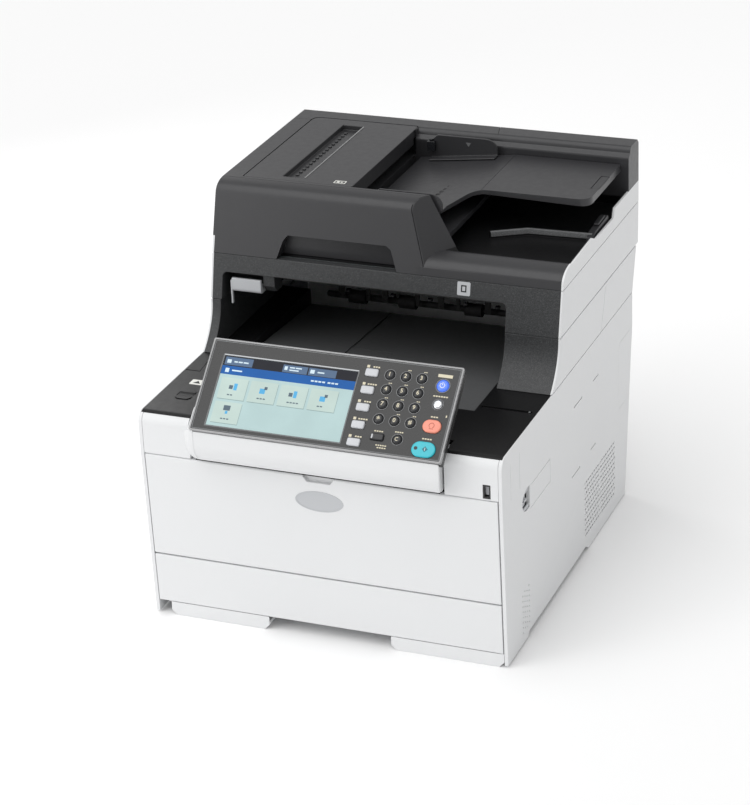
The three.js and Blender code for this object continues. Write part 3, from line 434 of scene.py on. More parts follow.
def add_pillow(bm, outline_of, levels, crown):
    """Rings of an outline drawn in by each level's inset, closed by a raised middle."""
    rings = [[bm.verts.new((a, b, z)) for a, b in outline_of(inset)] for inset, z in levels]
    bm.faces.new(rings[0])
    for one, two in zip(rings, rings[1:]):
        join_rings(bm, one, two)
    top = rings[-1]
    count = len(top)
    middle = sum((v.co for v in top), Vector()) / count
    centre = bm.verts.new((middle.x, middle.y, crown))
    for i in range(count):
        bm.faces.new((top[i], top[(i + 1) % count], centre))


def built(bm, place=Matrix.Identity(4)):
    """The bmesh as a mesh in the shared frame."""
    bmesh.ops.recalc_face_normals(bm, faces=bm.faces)
    bmesh.ops.transform(bm, matrix=TO_FRAME @ place, verts=bm.verts)
    mesh = bpy.data.meshes.new("shape")
    bm.to_mesh(mesh)
    bm.free()
    return mesh


WELD_WITHIN = 0.000002


def copied(node):
    """A CAD node's shape, with its triangles joined up."""
    bm = bmesh.new()
    bm.from_mesh(frame["nodes"][node].data)
    bmesh.ops.remove_doubles(bm, verts=bm.verts, dist=WELD_WITHIN)
    mesh = bpy.data.meshes.new("shape")
    bm.to_mesh(mesh)
    bm.free()
    return mesh


def carved(mesh, tool, operation="DIFFERENCE"):
    """The mesh cut by, or kept inside, the tool, which is another mesh."""
    objects = [placed("carving", data) for data in (mesh, tool)]
    modifier = objects[0].modifiers.new("carve", "BOOLEAN")
    modifier.object = objects[1]
    modifier.operation = operation
    modifier.solver = "MANIFOLD"
    result = evaluated(objects[0])
    for obj in objects:
        bpy.data.objects.remove(obj)
    return result


def box_mesh(*boxes):
    """Boxes, each given by x0, x1, y0, y1, z0 and z1."""
    bm = bmesh.new()
    for bounds in boxes:
        add_box(bm, *bounds)
    return built(bm)


def prism_mesh(*prisms, axis="Z"):
    """Prisms along one axis, each given by its outline, low end and high end."""
    bm = bmesh.new()
    for outline, low, high in prisms:
        add_prism(bm, outline, low, high, axis)
    return built(bm)


def add_radii(obj, width):
    """Small radii, in mm, on every edge that turns by 30 degrees or more."""
    bevel = obj.modifiers.new("radii", "BEVEL")
    bevel.width = width * MM
    bevel.segments = 2
    bevel.limit_method = "ANGLE"
    bevel.angle_limit = math.radians(30)
    return bevel


def rounded_edges(obj, width):
    """Radii on the moulded edges, with smooth shading across them."""
    obj.data.shade_smooth()
    flatten = obj.modifiers.new("planes", "DECIMATE")
    flatten.decimate_type = "DISSOLVE"
    flatten.angle_limit = math.radians(0.4)
    add_radii(obj, width).miter_outer = "MITER_ARC"
    normals = obj.modifiers.new("normals", "WEIGHTED_NORMAL")
    normals.keep_sharp = True


def softened(mesh, width):
    """The mesh with its radii made real, ready to be carved further."""
    holder = placed("softening", mesh)
    add_radii(holder, width)
    result = evaluated(holder)
    bpy.data.objects.remove(holder)
    return result


def sharp_shading(mesh, angle):
    """Smooth shading, but for edges that turn by the angle or more."""
    mesh.shade_smooth()
    mesh.set_sharp_from_angle(angle=math.radians(angle))


def piece(name, mesh, body, slot, look=None, radius=0.4):
    """One visible piece, riding on a body and finished in its material slot."""
    mesh.name = name
    mesh.materials.clear()
    mesh.materials.append(look or LOOKS[slot])
    obj = placed(name, mesh)
    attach(obj, body)
    if radius:
        rounded_edges(obj, radius)
    else:
        mesh.shade_flat()
    return obj


def glyph(text, size, x, y, z, thick):
    """A raised sign centred on a panel point."""
    curve = bpy.data.curves.new("glyph", "FONT")
    curve.body = text
    curve.size = size
    curve.extrude = thick / 2
    curve.offset = 0.1
    curve.resolution_u = 3
    curve.align_x = "CENTER"
    curve.align_y = "CENTER"
    holder = placed("glyph", curve)
    mesh = evaluated(holder)
    bpy.data.objects.remove(holder)
    bm = bmesh.new()
    bm.from_mesh(mesh)
    bmesh.ops.remove_doubles(bm, verts=bm.verts, dist=0.001)
    bmesh.ops.transform(bm, matrix=Matrix.Translation((x, y, z)), verts=bm.verts)
    return built(bm, PANEL)


# ---------------------------------------------------------------- CAD nodes kept as they are
OWN_LOOK = {"paper_stop_flap": TRAY_LOOK, "usb_port": LOOKS["panel_black"]}
KEPT_RADIUS = {
    "rear_cover": 0.7,
    "rear_exit_cover": 0.6,
    "power_inlet": 0.5,
    "front_beam": 0.8,
    "usb_port": 0.2,
    "tray_release_button": 0.6,
    "door_release_lever": 0.6,
    "transfer_belt": 0.8,
    "fuser_unit": 1.0,
    "exit_roller": 0.4,
    "paper_stop_flap": 0.4,
    "front_door": 0.8,
    "cassette_front": 0.8,
    "cassette": 0.6,
    "lift_plate": 0.3,
    "display": 0.3,
    "platen_glass": 0.3,
    "scanner_release_lever": 0.8,
    "platen_pad": 0.8,
    "guide_front": 0.7,
    "guide_rear": 0.7,
    "pickup_roller": 0.4,
}


def dress(node, radius):
    """Gives a CAD node its look and its radii, and leaves its shape alone."""
    obj = frame["nodes"][node]
    obj.data.materials.clear()
    obj.data.materials.append(OWN_LOOK.get(node) or LOOKS[SLOT_OF[node]])
    weld = obj.modifiers.new("weld", "WELD")
    weld.merge_threshold = WELD_WITHIN
    rounded_edges(obj, radius)


def replacement(name, mesh, node, slot=None, look=None, radius=0.6):
    """A piece that stands in for a CAD node, on its body and in its slot."""
    obj = piece(name, mesh, BODY_OF[node], slot or SLOT_OF[node], look, radius)
    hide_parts(node)
    return obj


# ---------------------------------------------------------------- white skins over dark cores
SKIN = 2.4
CORE = HALF - SKIN
BIG = 700
# The heights of the level seams in the sides.
SEAMS = (257, 312, 365)
SEAM_DEPTH = 1.6
SEAM_BELOW = 0.95
SEAM_ABOVE = 0.7


def beyond_core(left_top=BIG, right_top=BIG):
    """Everything outside the core's width, up to a height on each side."""
    return box_mesh((-BIG, -CORE, -BIG, BIG, -BIG, left_top), (CORE, BIG, -BIG, BIG, -BIG, right_top))


def shallow(sign, depth):
    """The x range that cuts a side face to a depth, with the lower bound first."""
    return sorted((sign * (HALF - depth), sign * (HALF + 2)))


def seam_tool():
    """A small rebate in the outer faces along each level seam."""
    bm = bmesh.new()
    for z in SEAMS:
        for sign in (-1, 1):
            add_box(bm, *shallow(sign, SEAM_DEPTH), 120, 560, z - SEAM_BELOW, z + SEAM_ABOVE)
    return built(bm)


def split_skins(node):
    """A moulding with a dark core and white side skins."""
    whole = carved(copied(node), seam_tool())
    core = carved(whole.copy(), beyond_core())
    skin = carved(whole, beyond_core(), "INTERSECT")
    replacement(node + "_core", core, node, radius=0.8)
    replacement(node + "_skin", skin, node, "white_shell", radius=0.6)


def split_stand():
    """The rear stand's dark inside, in a white shell at its sides and back."""
    whole = carved(copied("rear_stand"), seam_tool())
    inner = (-CORE, CORE, -BIG, 474, -BIG, BIG)
    core = carved(whole.copy(), box_mesh(inner), "INTERSECT")
    shell = carved(whole, box_mesh(inner))
    replacement("rear_stand_core", core, "rear_stand", "deck_black", radius=0.5)
    replacement("rear_stand_shell", shell, "rear_stand", "white_shell", radius=0.8)


def split_frame():
    """White feet and floor below, bare steel walls above."""
    low = [(-10, -5), (600, -5), (600, 12), (49.5, 12), (49.5, 18), (-10, 18)]
    tool = prism_mesh((low, -BIG, BIG), axis="X")
    feet = carved(copied("base_frame"), tool, "INTERSECT")
    walls = carved(copied("base_frame"), tool)
    replacement("base_frame_feet", feet, "base_frame", "white_shell", radius=0.8)
    replacement("base_frame_walls", walls, "base_frame", "steel", radius=0.3)


# ---------------------------------------------------------------- right side cover
LOUVRE_Z = (22, 90)
LOUVRE_ROWS = 11
LOUVRE_HIGH = 2.6
LOUVRE_BAR = 2.4
LOUVRE_PITCH = 7.6
LOUVRE_SPANS = ((289, 347.5), (350.5, 409))
# Each slit's round end and plain end along Y, and its height.
SLITS = ((343, 323.5, 208.5), (280, 251, 207), (330, 313, 125), (270, 241, 122.5))
SLIT_HALF = 0.75
SLIT_EYE = 1.7
ACCESS = (93.5, 163, 155.5, 184)
ACCESS_LINE = 0.8
HOLE_COLUMNS = 4
HOLE_ROWS = 8
HOLE_START = (61, 15.5)
HOLE_PITCH = (7.2, 6.6)
HOLE_RADIUS = 1.35
DUST_DEPTH = (4.15, 4.9)


def add_holes(bm, deep):
    """A small grid of round holes, every other column half a pitch higher."""
    for column in range(HOLE_COLUMNS):
        for row in range(HOLE_ROWS):
            y = HOLE_START[0] + column * HOLE_PITCH[0]
            z = HOLE_START[1] + (row + 0.5 * (column % 2)) * HOLE_PITCH[1]
            add_prism(bm, circle(y, z, HOLE_RADIUS, 10), *deep, "X")


def add_slits(bm, deep):
    """Level slits that each end in a round eye."""
    for y1, y0, z in SLITS:
        low, high = z - SLIT_HALF, z + SLIT_HALF
        add_prism(bm, [(y0, low), (y1 - 3, low), (y1 - 3, high), (y0, high)], *deep, "X")
        add_prism(bm, circle(y1, z, SLIT_EYE, 10), *deep, "X")


def add_access_line(bm, sign):
    """The groove round three sides of the access panel."""
    y0, y1, z0, z1 = ACCESS
    groove = shallow(sign, 0.9)
    wide = ACCESS_LINE
    inner = y1 - wide
    add_prism(bm, [(y0, z0), (y1, z0), (y1, z0 + wide), (y0, z0 + wide)], *groove, "X")
    add_prism(bm, [(y0, z1 - wide), (y1, z1 - wide), (y1, z1), (y0, z1)], *groove, "X")
    add_prism(bm, [(inner, z0 + 1), (y1, z0 + 1), (y1, z1 - 1), (inner, z1 - 1)], *groove, "X")


def side_cutters(sign, with_access):
    """Holes, slits and grooves of a side cover, as one tool."""
    deep = shallow(sign, 6)
    bm = bmesh.new()
    add_holes(bm, deep)
    add_slits(bm, deep)
    for y in (28, 58):
        add_box(bm, *shallow(sign, 0.9), y, y + 0.6, 196, 240)
    if with_access:
        add_access_line(bm, sign)
    return built(bm)


def louvre_bars():
    """Short upright bars that break each long louvre into a row of slots."""
    bm = bmesh.new()
    rise = (LOUVRE_Z[1] - LOUVRE_Z[0]) / (LOUVRE_ROWS - 1)
    play = 0.02
    for row in range(LOUVRE_ROWS):
        z = LOUVRE_Z[0] + row * rise
        for y0, y1 in LOUVRE_SPANS:
            y = y0 + (5.6 if row % 2 else 2.0)
            while y + LOUVRE_BAR < y1:
                add_box(bm, HALF - 3.6, HALF - play, y, y + LOUVRE_BAR, z + play, z + LOUVRE_HIGH - play)
                y += LOUVRE_PITCH
    return built(bm)


def dress_right_side():
    """The right cover, with its louvre bars, the lined recess round the door release, and a black sheet of
    painted shade at the recess's back.
    """
    mesh = carved(softened(copied("right_side_cover"), 0.6), side_cutters(1, True))
    replacement("right_side_panel", mesh, "right_side_cover", radius=0)
    sharp_shading(mesh, 12)
    piece("louvre_bars", louvre_bars(), "printer_body", "white_shell", radius=0)
    upper = [(76, 185), (88.5, 185), (88.5, 179.8), (70.5, 179.8), (72, 182)]
    lower = [(76, 160), (88.5, 160), (88.5, 164.2), (70.5, 164.2), (72, 162)]
    lining = prism_mesh((upper, HALF - 2.8, HALF - 1.3), (lower, HALF - 2.8, HALF - 1.0), axis="X")
    piece("recess_lining", lining, "printer_body", "light_grey", radius=0.5)
    # Painted shade: a black sheet at the back of the recess, behind the lever.
    recess_shade = box_mesh((HALF - 7.35, HALF - 6.75, 68, 89, 161, 184))
    piece("recess_shade_sheet", recess_shade, "printer_body", "rubber", radius=0)


def vent_shade_sheets():
    """Dark sheets behind the openings of both side covers, painted shade inside them."""
    louvre = (284, 414, 16, 96)
    plates = [(54, 90, 10, 72)] + [(y0 - 3, y1 + 3, z - 4, z + 4) for y1, y0, z in SLITS]
    for name, sign, places in (("vent_shade_sheets", 1, [louvre] + plates), ("vent_shade_sheets_left", -1, plates)):
        across = sorted(sign * (HALF - depth) for depth in DUST_DEPTH)
        # Painted shade: black sheets just behind the holes, slits and louvre.
        shade_sheets = box_mesh(*[(*across, *place) for place in places])
        piece(name, shade_sheets, "printer_body", "rubber", radius=0)


def dress_left_side():
    mesh = carved(softened(copied("left_side_cover"), 0.6), side_cutters(-1, False))
    replacement("left_side_panel", mesh, "left_side_cover", radius=0)
    sharp_shading(mesh, 12)


# ---------------------------------------------------------------- output tray and deck
TRAY_SLOPE = (254.5 - 238) / (384 - 136)


def tray_top(y):
    return 254.5 - (y - 136) * TRAY_SLOPE


def along_tray(x0, x1, y0, y1, depth):
    """A cutter that follows the tray's slope at a depth below its face."""
    low0, low1 = tray_top(y0) - depth, tray_top(y1) - depth
    side = [(y0, low0), (y1, low1), (y1, low1 + 12), (y0, low0 + 12)]
    return prism_mesh((side, x0, x1), axis="X")


def dress_tray():
    """The output tray, with a groove and a shallow recess in its face."""
    tray = carved(copied("output_tray"), along_tray(-61.2, -59.6, 222, 390, 1.6))
    tray = carved(tray, along_tray(-59.5, -8, 254.6, 390, 0.7))
    replacement("output_tray_shape", tray, "output_tray", look=TRAY_LOOK, radius=0.5)


def dress_deck():
    """The deck's slot, peg and parting line, and the sign by the tray button."""
    bm = bmesh.new()
    add_box(bm, 147, 206, 121.4, 127, 254.6, 260)
    add_prism(bm, [(-196, 147), (-195.4, 147), (-193.4, 122.8), (-194, 122.8)], 255.9, 260)
    replacement("deck_shape", carved(copied("deck"), built(bm)), "deck", radius=0.6)
    mark = prism_mesh((rounded(-191, 86, -175, 99, 1.5, 3), 256.71, 256.85))
    piece("tray_button_mark", mark, "printer_body", "light_grey", LOOKS["pad_white"], 0)
    arrow = prism_mesh(([(-187.5, 89.5), (-178.5, 89.5), (-183, 96)], 256.86, 256.95))
    piece("tray_button_arrow", arrow, "printer_body", "deck_black", radius=0)
    peg = prism_mesh((circle(203.4, 124, 1.3, 12), 254, 257.6))
    piece("deck_slot_peg", peg, "printer_body", "steel", CHROME, 0.3)


def dress_exit():
    """The row of glossy sheet guides over the exit rollers."""
    bm = bmesh.new()
    for index, x in enumerate((-126, -92, -70, -28, 2, 24, 62, 88, 118)):
        wide = 5 if index % 2 else 8
        slope = [(389.2, 263.5), (391.8, 263.5), (391.8, 250), (390, 247.5)]
        add_prism(bm, slope, x - wide / 2, x + wide / 2, "X")
    piece("exit_guides", built(bm), "printer_body", "deck_black", LOOKS["panel_black"], 0.5)
    rolls = bmesh.new()
    for x in (-118, -60, -12, 34, 74, 128):
        add_prism(rolls, circle(391.5, 257, 3.4, 16), x - 2.4, x + 2.4, "X")
    piece("exit_star_wheels", built(rolls), "printer_body", "rubber", LOOKS["key_dark"], 0.4)


# ---------------------------------------------------------------- scanner front
def scanner_face_at(z):
    """How far back the scanner's leaning front face lies at a height."""
    return 204 + (z - 312) * 12 / 52.7


def follow_scanner_face(bm):
    """A shape drawn about y = 0, built on the leaning face."""
    for vert in bm.verts:
        vert.co.y += scanner_face_at(vert.co.z)
    return built(bm)


def dress_scanner():
    split_skins("scanner_housing")
    tag = bmesh.new()
    add_prism(tag, rounded(89.5, 347.8, 105, 363, 1.4, 4), -0.35, 1.5, "Y")
    tag = follow_scanner_face(tag)
    piece("scanner_tag", tag, "scanner_unit", "pad_white", LOOKS["light_grey"], 0)
    mark = bmesh.new()
    bars = ((94, 100.5, 351.6, 353), (94, 100.5, 358, 359.4), (94, 95.4, 353, 358), (99.1, 100.5, 353, 358))
    for x0, x1, z0, z1 in bars:
        add_box(mark, x0, x1, -0.42, 0.4, z0, z1)
    piece("scanner_tag_mark", follow_scanner_face(mark), "scanner_unit", "deck_black", radius=0)
    border = box_mesh((-163, 158, 228, 239.5, 364.55, 364.7))
    piece("glass_border", border, "scanner_unit", "deck_black", radius=0)
    strip = box_mesh((-190.6, -188.6, 212.2, 216, 305, 334))
    piece("scanner_lever_strip", strip, BODY_OF["scanner_release_lever"], "light_grey", radius=0.4)
    side = [(216, 329.5), (216, 343), (238, 343), (238, 322), (222, 322)]
    holder = prism_mesh((side, -150.5, -136), axis="X")
    piece("scanner_lever_holder", holder, "scanner_unit", "speckled_grey", radius=0.8)


# ---------------------------------------------------------------- document feeder
TRIM_TOPS = (384, 391.2)


def feeder_grooves():
    """Parting lines across the feeder's top."""
    bm = bmesh.new()
    add_box(bm, -HALF - 1, -190.8, 470.6, 471.1, 443.2, 447)
    add_prism(bm, [(47.6, 479), (48.2, 479), (40.6, 512), (40.0, 512)], 442.8, 447)
    add_box(bm, -HALF - 1, 66, 258.6, 259.1, 443.3, 447)
    return built(bm)


END_ACROSS = Vector((1, -0.616, 0.505)).normalized()
END_POINT = Vector((47.7, 217, 374.8))


def end_groove():
    """A shadow line between the front moulding and its leaning end."""
    slab = bmesh.new()
    add_box(slab, -1.5, -0.5, -150, 150, -150, 150)
    turn = Vector((1, 0, 0)).rotation_difference(END_ACROSS).to_matrix().to_4x4()
    slab = built(slab, Matrix.Translation(END_POINT) @ turn)
    line = [(218.2, 200), (218.2, 366), (238, 432), (242.5, 440), (249, 442.6), (600, 442.6), (600, 200)]
    slab = carved(slab, prism_mesh((line, -300, 300), axis="X"))
    return carved(slab, box_mesh((-300, 300, 100, 262, 374, 500)), "INTERSECT")


def split_feeder():
    """The feeder's body: dark core, white side trims, and the shelf under the input tray, darkened as
    painted shade.
    """
    whole = carved(copied("adf_base"), feeder_grooves())
    whole = carved(whole, end_groove())
    trims = beyond_core(*TRIM_TOPS)
    core = carved(whole.copy(), trims)
    skin = carved(whole, trims, "INTERSECT")
    # Painted shade: the shelf under the input tray takes the darker deck plastic.
    floor = box_mesh((-60, CORE, 240, 468, 366, 384.6))
    shaded_shelf = carved(core.copy(), floor, "INTERSECT")
    core = carved(core, floor)
    replacement("adf_base_core", core, "adf_base", radius=0.9)
    replacement("adf_base_shelf_painted_shade", shaded_shelf, "adf_base", look=LOOKS["deck_black"], radius=0.4)
    replacement("adf_base_trims", skin, "adf_base", "white_shell", radius=0.6)


def dress_shelf():
    """The stiffening rib and the latch on the shelf under the input tray."""
    plan = [(92.5, 321.6), (130, 343.6), (206, 346.6), (206, 350), (129, 347), (90, 325)]
    piece("shelf_rib_cap", prism_mesh((plan, 376, 382.6)), "document_feeder", "speckled_grey", RIB_LOOK, 0.8)
    side = [(342, 374.5), (342, 379), (352, 384), (400, 386.5), (404, 380), (404, 374.5)]
    grip = [(366, 386), (392, 387.4), (392, 389.5), (366, 388)]
    latch = prism_mesh((side, 200.5, 209), (grip, 202, 208), axis="X")
    piece("shelf_latch", latch, "document_feeder", "feeder_black", radius=0.8)


def dress_feeder_cover():
    """The cover over the feed path, with a painted highlight on its slot's lip, ribs and feed sign."""
    dress("feeder_cover", 0.7)
    end = [(-119.6, 443.6), (-117.6, 444.5), (-116.8, 444.5), (-116.8, 443.9), (-118, 443.6)]
    # Painted highlight: a silvery strip along the slot's lip on the dark cover.
    lip_highlight = prism_mesh((end, 277, 461), axis="Y")
    piece("cover_slot_lip_highlight", lip_highlight, "feeder_cover", "feeder_black", SILVER, 0)
    ribs = box_mesh(*[(-138, -134.5, y, y + 4, 438, 439.2) for y in range(286, 456, 10)])
    piece("cover_slot_ribs", ribs, "feeder_cover", "feeder_black", radius=0.3)
    icon = bmesh.new()
    levels = (443.9, 444.05)
    add_frame(icon, rounded(-80, 270.5, -66, 279, 0.8, 2), rounded(-79, 271.5, -67, 278, 0.4, 2), *levels)
    add_prism(icon, [(-77, 273), (-73.5, 273), (-73.5, 276.5), (-77, 276.5)], *levels)
    add_prism(icon, [(-72, 273), (-69, 274.8), (-72, 276.5)], *levels)
    piece("cover_icon", built(icon), "feeder_cover", "pad_white", LOOKS["pad_white"], 0)


def dress_input_tray():
    """The input tray, with its stopper flap and size marks."""
    bm = bmesh.new()
    add_box(bm, 74, 74.5, 270, 470, 424.4, 430)
    add_prism(bm, [(-20, 300), (30, 304), (30, 305), (-20, 301)], 404, 436)
    tray = carved(copied("input_tray"), built(bm))
    replacement("input_tray_shape", tray, "input_tray", radius=0.7)
    flap = prism_mesh((rounded(194.8, 381, 203.4, 422, 1.5, 3), 423.4, 424.8))
    piece("stopper_flap", flap, "input_tray", "feeder_black", radius=0.4)
    marks = bmesh.new()
    for index in range(5):
        y = 318 + index * 9
        add_box(marks, 22 + index * 1.5, 27 + index * 1.5, y, y + 5, 416, 419.75)
    piece("tray_size_marks", built(marks), "input_tray", "feeder_black", LOOKS["deck_black"], 0)


def dress_guides():
    """The clips on both paper guides, and the fill arrow on the rear one."""
    for node, y, side in (("guide_front", 267.5, 1), ("guide_rear", 459, -1)):
        clip = bmesh.new()
        y0 = y + (2.6 if side > 0 else -5)
        add_box(clip, -34, -24, y0, y0 + 5, 424, 436)
        add_box(clip, -31, -27, y0 + 0.8, y0 + 4.2, 436, 439)
        piece(node + "_clip", built(clip), node, "feeder_black", LOOKS["key_dark"], 0.5)
    arrow = prism_mesh(([(14, 437), (21, 437), (17.5, 432)], 458.75, 458.98), axis="Y")
    piece("guide_arrow", arrow, "guide_rear", "feeder_black", RIB_LOOK, 0)


# ---------------------------------------------------------------- operator panel
PANEL_X = (-138.3, 154.3)
PANEL_HIGH = 110.5
SCREEN_X = (-121, 37.4)
SCREEN_Y = (8, 92)


def panel_piece(name, bm, slot, look=None, radius=0.0, body="operator_panel"):
    return piece(name, built(bm, PANEL), body, slot, look, radius)


def panel_rim():
    """A silvery clear edge moulding all round the panel."""
    x0, x1 = PANEL_X
    bm = bmesh.new()
    outer = rounded(x0 - 0.5, -0.5, x1 + 0.5, PANEL_HIGH + 0.5, 2.0)
    inner = rounded(x0 + 1.5, 1.5, x1 - 1.5, PANEL_HIGH - 1.5, 1.2)
    add_frame(bm, outer, inner, -3.4, 0.9)
    panel_piece("panel_rim", bm, "panel_black", SILVER, 0.35)
    line = bmesh.new()
    outer = rounded(x0 + 2.0, 2.0, x1 - 2.0, PANEL_HIGH - 2.0, 1.5)
    inner = rounded(x0 + 3.1, 3.1, x1 - 3.1, PANEL_HIGH - 3.1, 0.8)
    add_frame(line, outer, inner, -0.1, 0.35)
    panel_piece("panel_inner_line", line, "panel_black", RIM_DARK)


def screen_frame():
    """The dark step round the touch screen, with a painted highlight along its top edge."""
    x0, x1 = SCREEN_X
    y0, y1 = SCREEN_Y
    bm = bmesh.new()
    outer = rounded(x0 - 1.6, y0 - 1.4, x1 + 1.4, y1 + 1.6, 0.9, 2)
    inner = rounded(x0 + 0.2, y0 + 0.2, x1 - 0.2, y1 - 0.2, 0.3, 2)
    add_frame(bm, outer, inner, -0.3, 0.3)
    panel_piece("screen_frame", bm, "panel_black", RIM_DARK, 0.2)
    # Painted highlight: a light grey strip along the frame's top edge only.
    highlight_strip = bmesh.new()
    add_box(highlight_strip, x0 - 0.6, x1 + 0.4, y1 + 0.1, y1 + 1.5, -0.2, 0.42)
    panel_piece("screen_frame_painted_highlight", highlight_strip, "panel_black", LOOKS["light_grey"], 0.2)


def screen_layer(name, boxes, color, height, glow=0.05):
    """Flat coloured fields of the picture on the screen."""
    bm = bmesh.new()
    for x0, x1, y0, y1 in boxes:
        add_box(bm, x0, x1, y0, y1, -0.12, height)
    look = glossy("screen_" + name, color, 0.3, glow=glow, coat=0.0)
    panel_piece("screen_" + name, bm, "screen", look)


# The tiles' lower left corners, and each sign's blue and grey boxes about its middle.
TILES = [(-117, 41), (-81.5, 41), (-46, 41), (-10.5, 41), (-117, 12.5)]
TILE_WIDE = 32
TILE_HIGH = 25
ICONS = {
    "sheets": ([(0.5, 4.5, -4.5, 3.5)], [(-5, -0.5, -3.5, 1)]),
    "stack": ([(-4, 2.5, -4.5, 1.5)], [(1, 4.5, 0.5, 4)]),
    "disk": ([(-1.5, 1.5, -4.5, -1)], [(-4.5, 3.5, -0.5, 5.5)]),
}
TILE_ICONS = ("sheets", "stack", "sheets", "stack", "disk")


def moved(boxes, x, y):
    return [(x + x0, x + x1, y + y0, y + y1) for x0, x1, y0, y1 in boxes]


def screen_icons():
    """A plain two-coloured sign and a row of blank print on every tile."""
    blue = []
    grey = []
    for index, (x, y) in enumerate(TILES):
        middle = x + TILE_WIDE / 2
        blue_boxes, grey_boxes = ICONS[TILE_ICONS[index]]
        blue += moved(blue_boxes, middle, y + 15.5)
        grey += moved(grey_boxes, middle, y + 15.5)
        for dash in range(2 + index % 3):
            start = middle - 5 + dash * 3.6
            grey.append((start, start + 2.6, y + 4.4, y + 5.8))
    screen_layer("icons_blue", blue, linear(84, 166, 212), 0.0)
    screen_layer("icons_grey", grey, linear(84, 100, 112), 0.0)


def screen_picture():
    """The picture's bars, tabs, tiles, signs and blank print."""
    x0, x1 = SCREEN_X
    screen_layer("bar", [(x0 + 0.3, x1 - 0.3, 80, 91.7)], linear(20, 22, 32), -0.06, 0)
    tabs = [(-119, -86, 81, 90.5), (-50, -21, 80.6, 89.5), (-19.5, 13, 80.6, 89.5)]
    screen_layer("tabs", tabs, linear(82, 104, 132), -0.03)
    screen_layer("band", [(x0 + 0.3, x1 - 0.3, 69.8, 80)], linear(14, 84, 154), -0.05, 0.1)
    shadows = [(x + 0.6, x + TILE_WIDE + 0.5, y - 0.7, y + TILE_HIGH - 1) for x, y in TILES]
    screen_layer("tile_shadow", shadows, linear(132, 154, 154), -0.06)
    faces = [(x, x + TILE_WIDE, y, y + TILE_HIGH) for x, y in TILES]
    screen_layer("tiles", faces, linear(182, 200, 194), -0.03)
    screen_icons()
    words = [(-108, -104, 84.6, 86.2), (-103, -98, 84.6, 86.2), (-97, -91, 84.6, 86.2)]
    words += [(-42, -36, 86, 87.4), (-35, -28, 86, 87.4), (-42, -31, 83, 84.4), (-9, -1, 84.2, 85.8)]
    words += [(-108, -96, 74.2, 75.8), (-116, -111.5, 72.3, 77.2)]
    words += [(x, x + 3.4, 73.6, 75.4) for x in (-14, -9.6, -5.2, -0.8, 5.6, 10, 14.4)]
    words += [(-116.5, -111.5, 83.4, 87.6), (-48, -44.5, 83.4, 87.6), (-17.5, -12.5, 83, 87.4)]
    screen_layer("marks", words, linear(196, 214, 224), 0.02, 0.15)


def dashes(x, y, count, wide=2.3, high=1.5, gap=0.7):
    """A short row of blank print, centred on x."""
    whole = count * wide + (count - 1) * gap
    left = x - whole / 2
    return [(left + i * (wide + gap), left + i * (wide + gap) + wide, y, y + high) for i in range(count)]


COLUMN_X = (73.9, 92.2, 110.5)
ROW_Y = (92.6, 75.3, 58, 40.7)
DIGITS = ("1", "2", "3", "4", "5", "6", "7", "8", "9", "*", "0", "#")
DIGIT_NODES = ("1", "2", "3", "4", "5", "6", "7", "8", "9", "star", "0", "hash")
FUNCTION_NODES = ("fax", "print", "scan", "copy", "home")
FUNCTION_X = 52.8
FUNCTION_Y = 10.6
FUNCTION_PITCH = 20.5
STATUS_AT = (77.6, 20)
CLEAR_AT = (100.6, 20)
POWER_AT = (135.7, 87.5)
SAVE_AT = (135.4, 65.6)
STOP_AT = (135.1, 39.9)
START_AT = (132.3, 12.6)
DIGIT_WIDE = 11
POWER_WIDE = 14
ROUND = 99


def panel_print():
    """Rows of blank print in the place of captions."""
    bars = []
    for index in range(len(FUNCTION_NODES)):
        y = FUNCTION_Y + index * FUNCTION_PITCH + 6.3
        bars += dashes(FUNCTION_X + 3.6, y, 3 + index % 2, 2.1, 1.6)
        bars.append((FUNCTION_X - 7.4, FUNCTION_X - 4.2, y - 0.6, y + 2.4))
    for index, sign in enumerate(DIGITS):
        if sign not in ("1", "*"):
            bars += dashes(COLUMN_X[index % 3] + 2.4, ROW_Y[index // 3] + 7.4, 2, 1.6, 1.0, 0.5)
    bars += dashes(77.6, 26.2, 4, 2, 1.4)
    bars += dashes(100.6, 28, 4, 1.8, 1.4)
    bars += dashes(84, 10.4, 5, 1.9, 1.3)
    bars += dashes(85, 7.6, 4, 2, 1.3)
    bars += dashes(136, 74.4, 6, 2.2, 1.5)
    bars += dashes(135, 50.3, 3, 2.2, 1.5)
    bars += dashes(133, 24.4, 4, 2.2, 1.5)
    bars += dashes(148, 52, 1, 1.4, 2.6)
    bm = bmesh.new()
    for x0, x1, y0, y1 in bars:
        add_box(bm, x0, x1, y0, y1, -0.05, 0.06)
    add_box(bm, 127.5, 144, 97.3, 100.9, -0.05, 0.1)
    panel_piece("panel_print", bm, "light_grey", CREAM)


# A cap's section: how far each ring is drawn in, and its height.
DOME = ((0, -3), (0, 0.5), (0.25, 1.1), (0.9, 1.75), (2.0, 2.2), (3.4, 2.42))
PAD_CAP = ((0, -3), (0, 0.9), (0.2, 1.5), (0.7, 1.95), (1.5, 2.15))


def key_outline(x, y, wide, high, corner):
    """The key's outline as a function of how far it is drawn in."""
    def outline(inset):
        r = max(0.3, min(corner, wide / 2, high / 2) - inset - 0.01)
        halves = (wide / 2 - inset, high / 2 - inset)
        return rounded(x - halves[0], y - halves[1], x + halves[0], y + halves[1], r, 6)
    return outline


def make_cap(name, x, y, wide, high, corner, levels, crown, look=None):
    """A key's crowned cap, in the place of its CAD node."""
    node = "key_" + name
    bm = bmesh.new()
    add_pillow(bm, key_outline(x, y, wide, high, corner), levels, crown)
    mesh = built(bm, PANEL)
    replacement(node + "_cap", mesh, node, look=look, radius=0)
    mesh.shade_smooth()


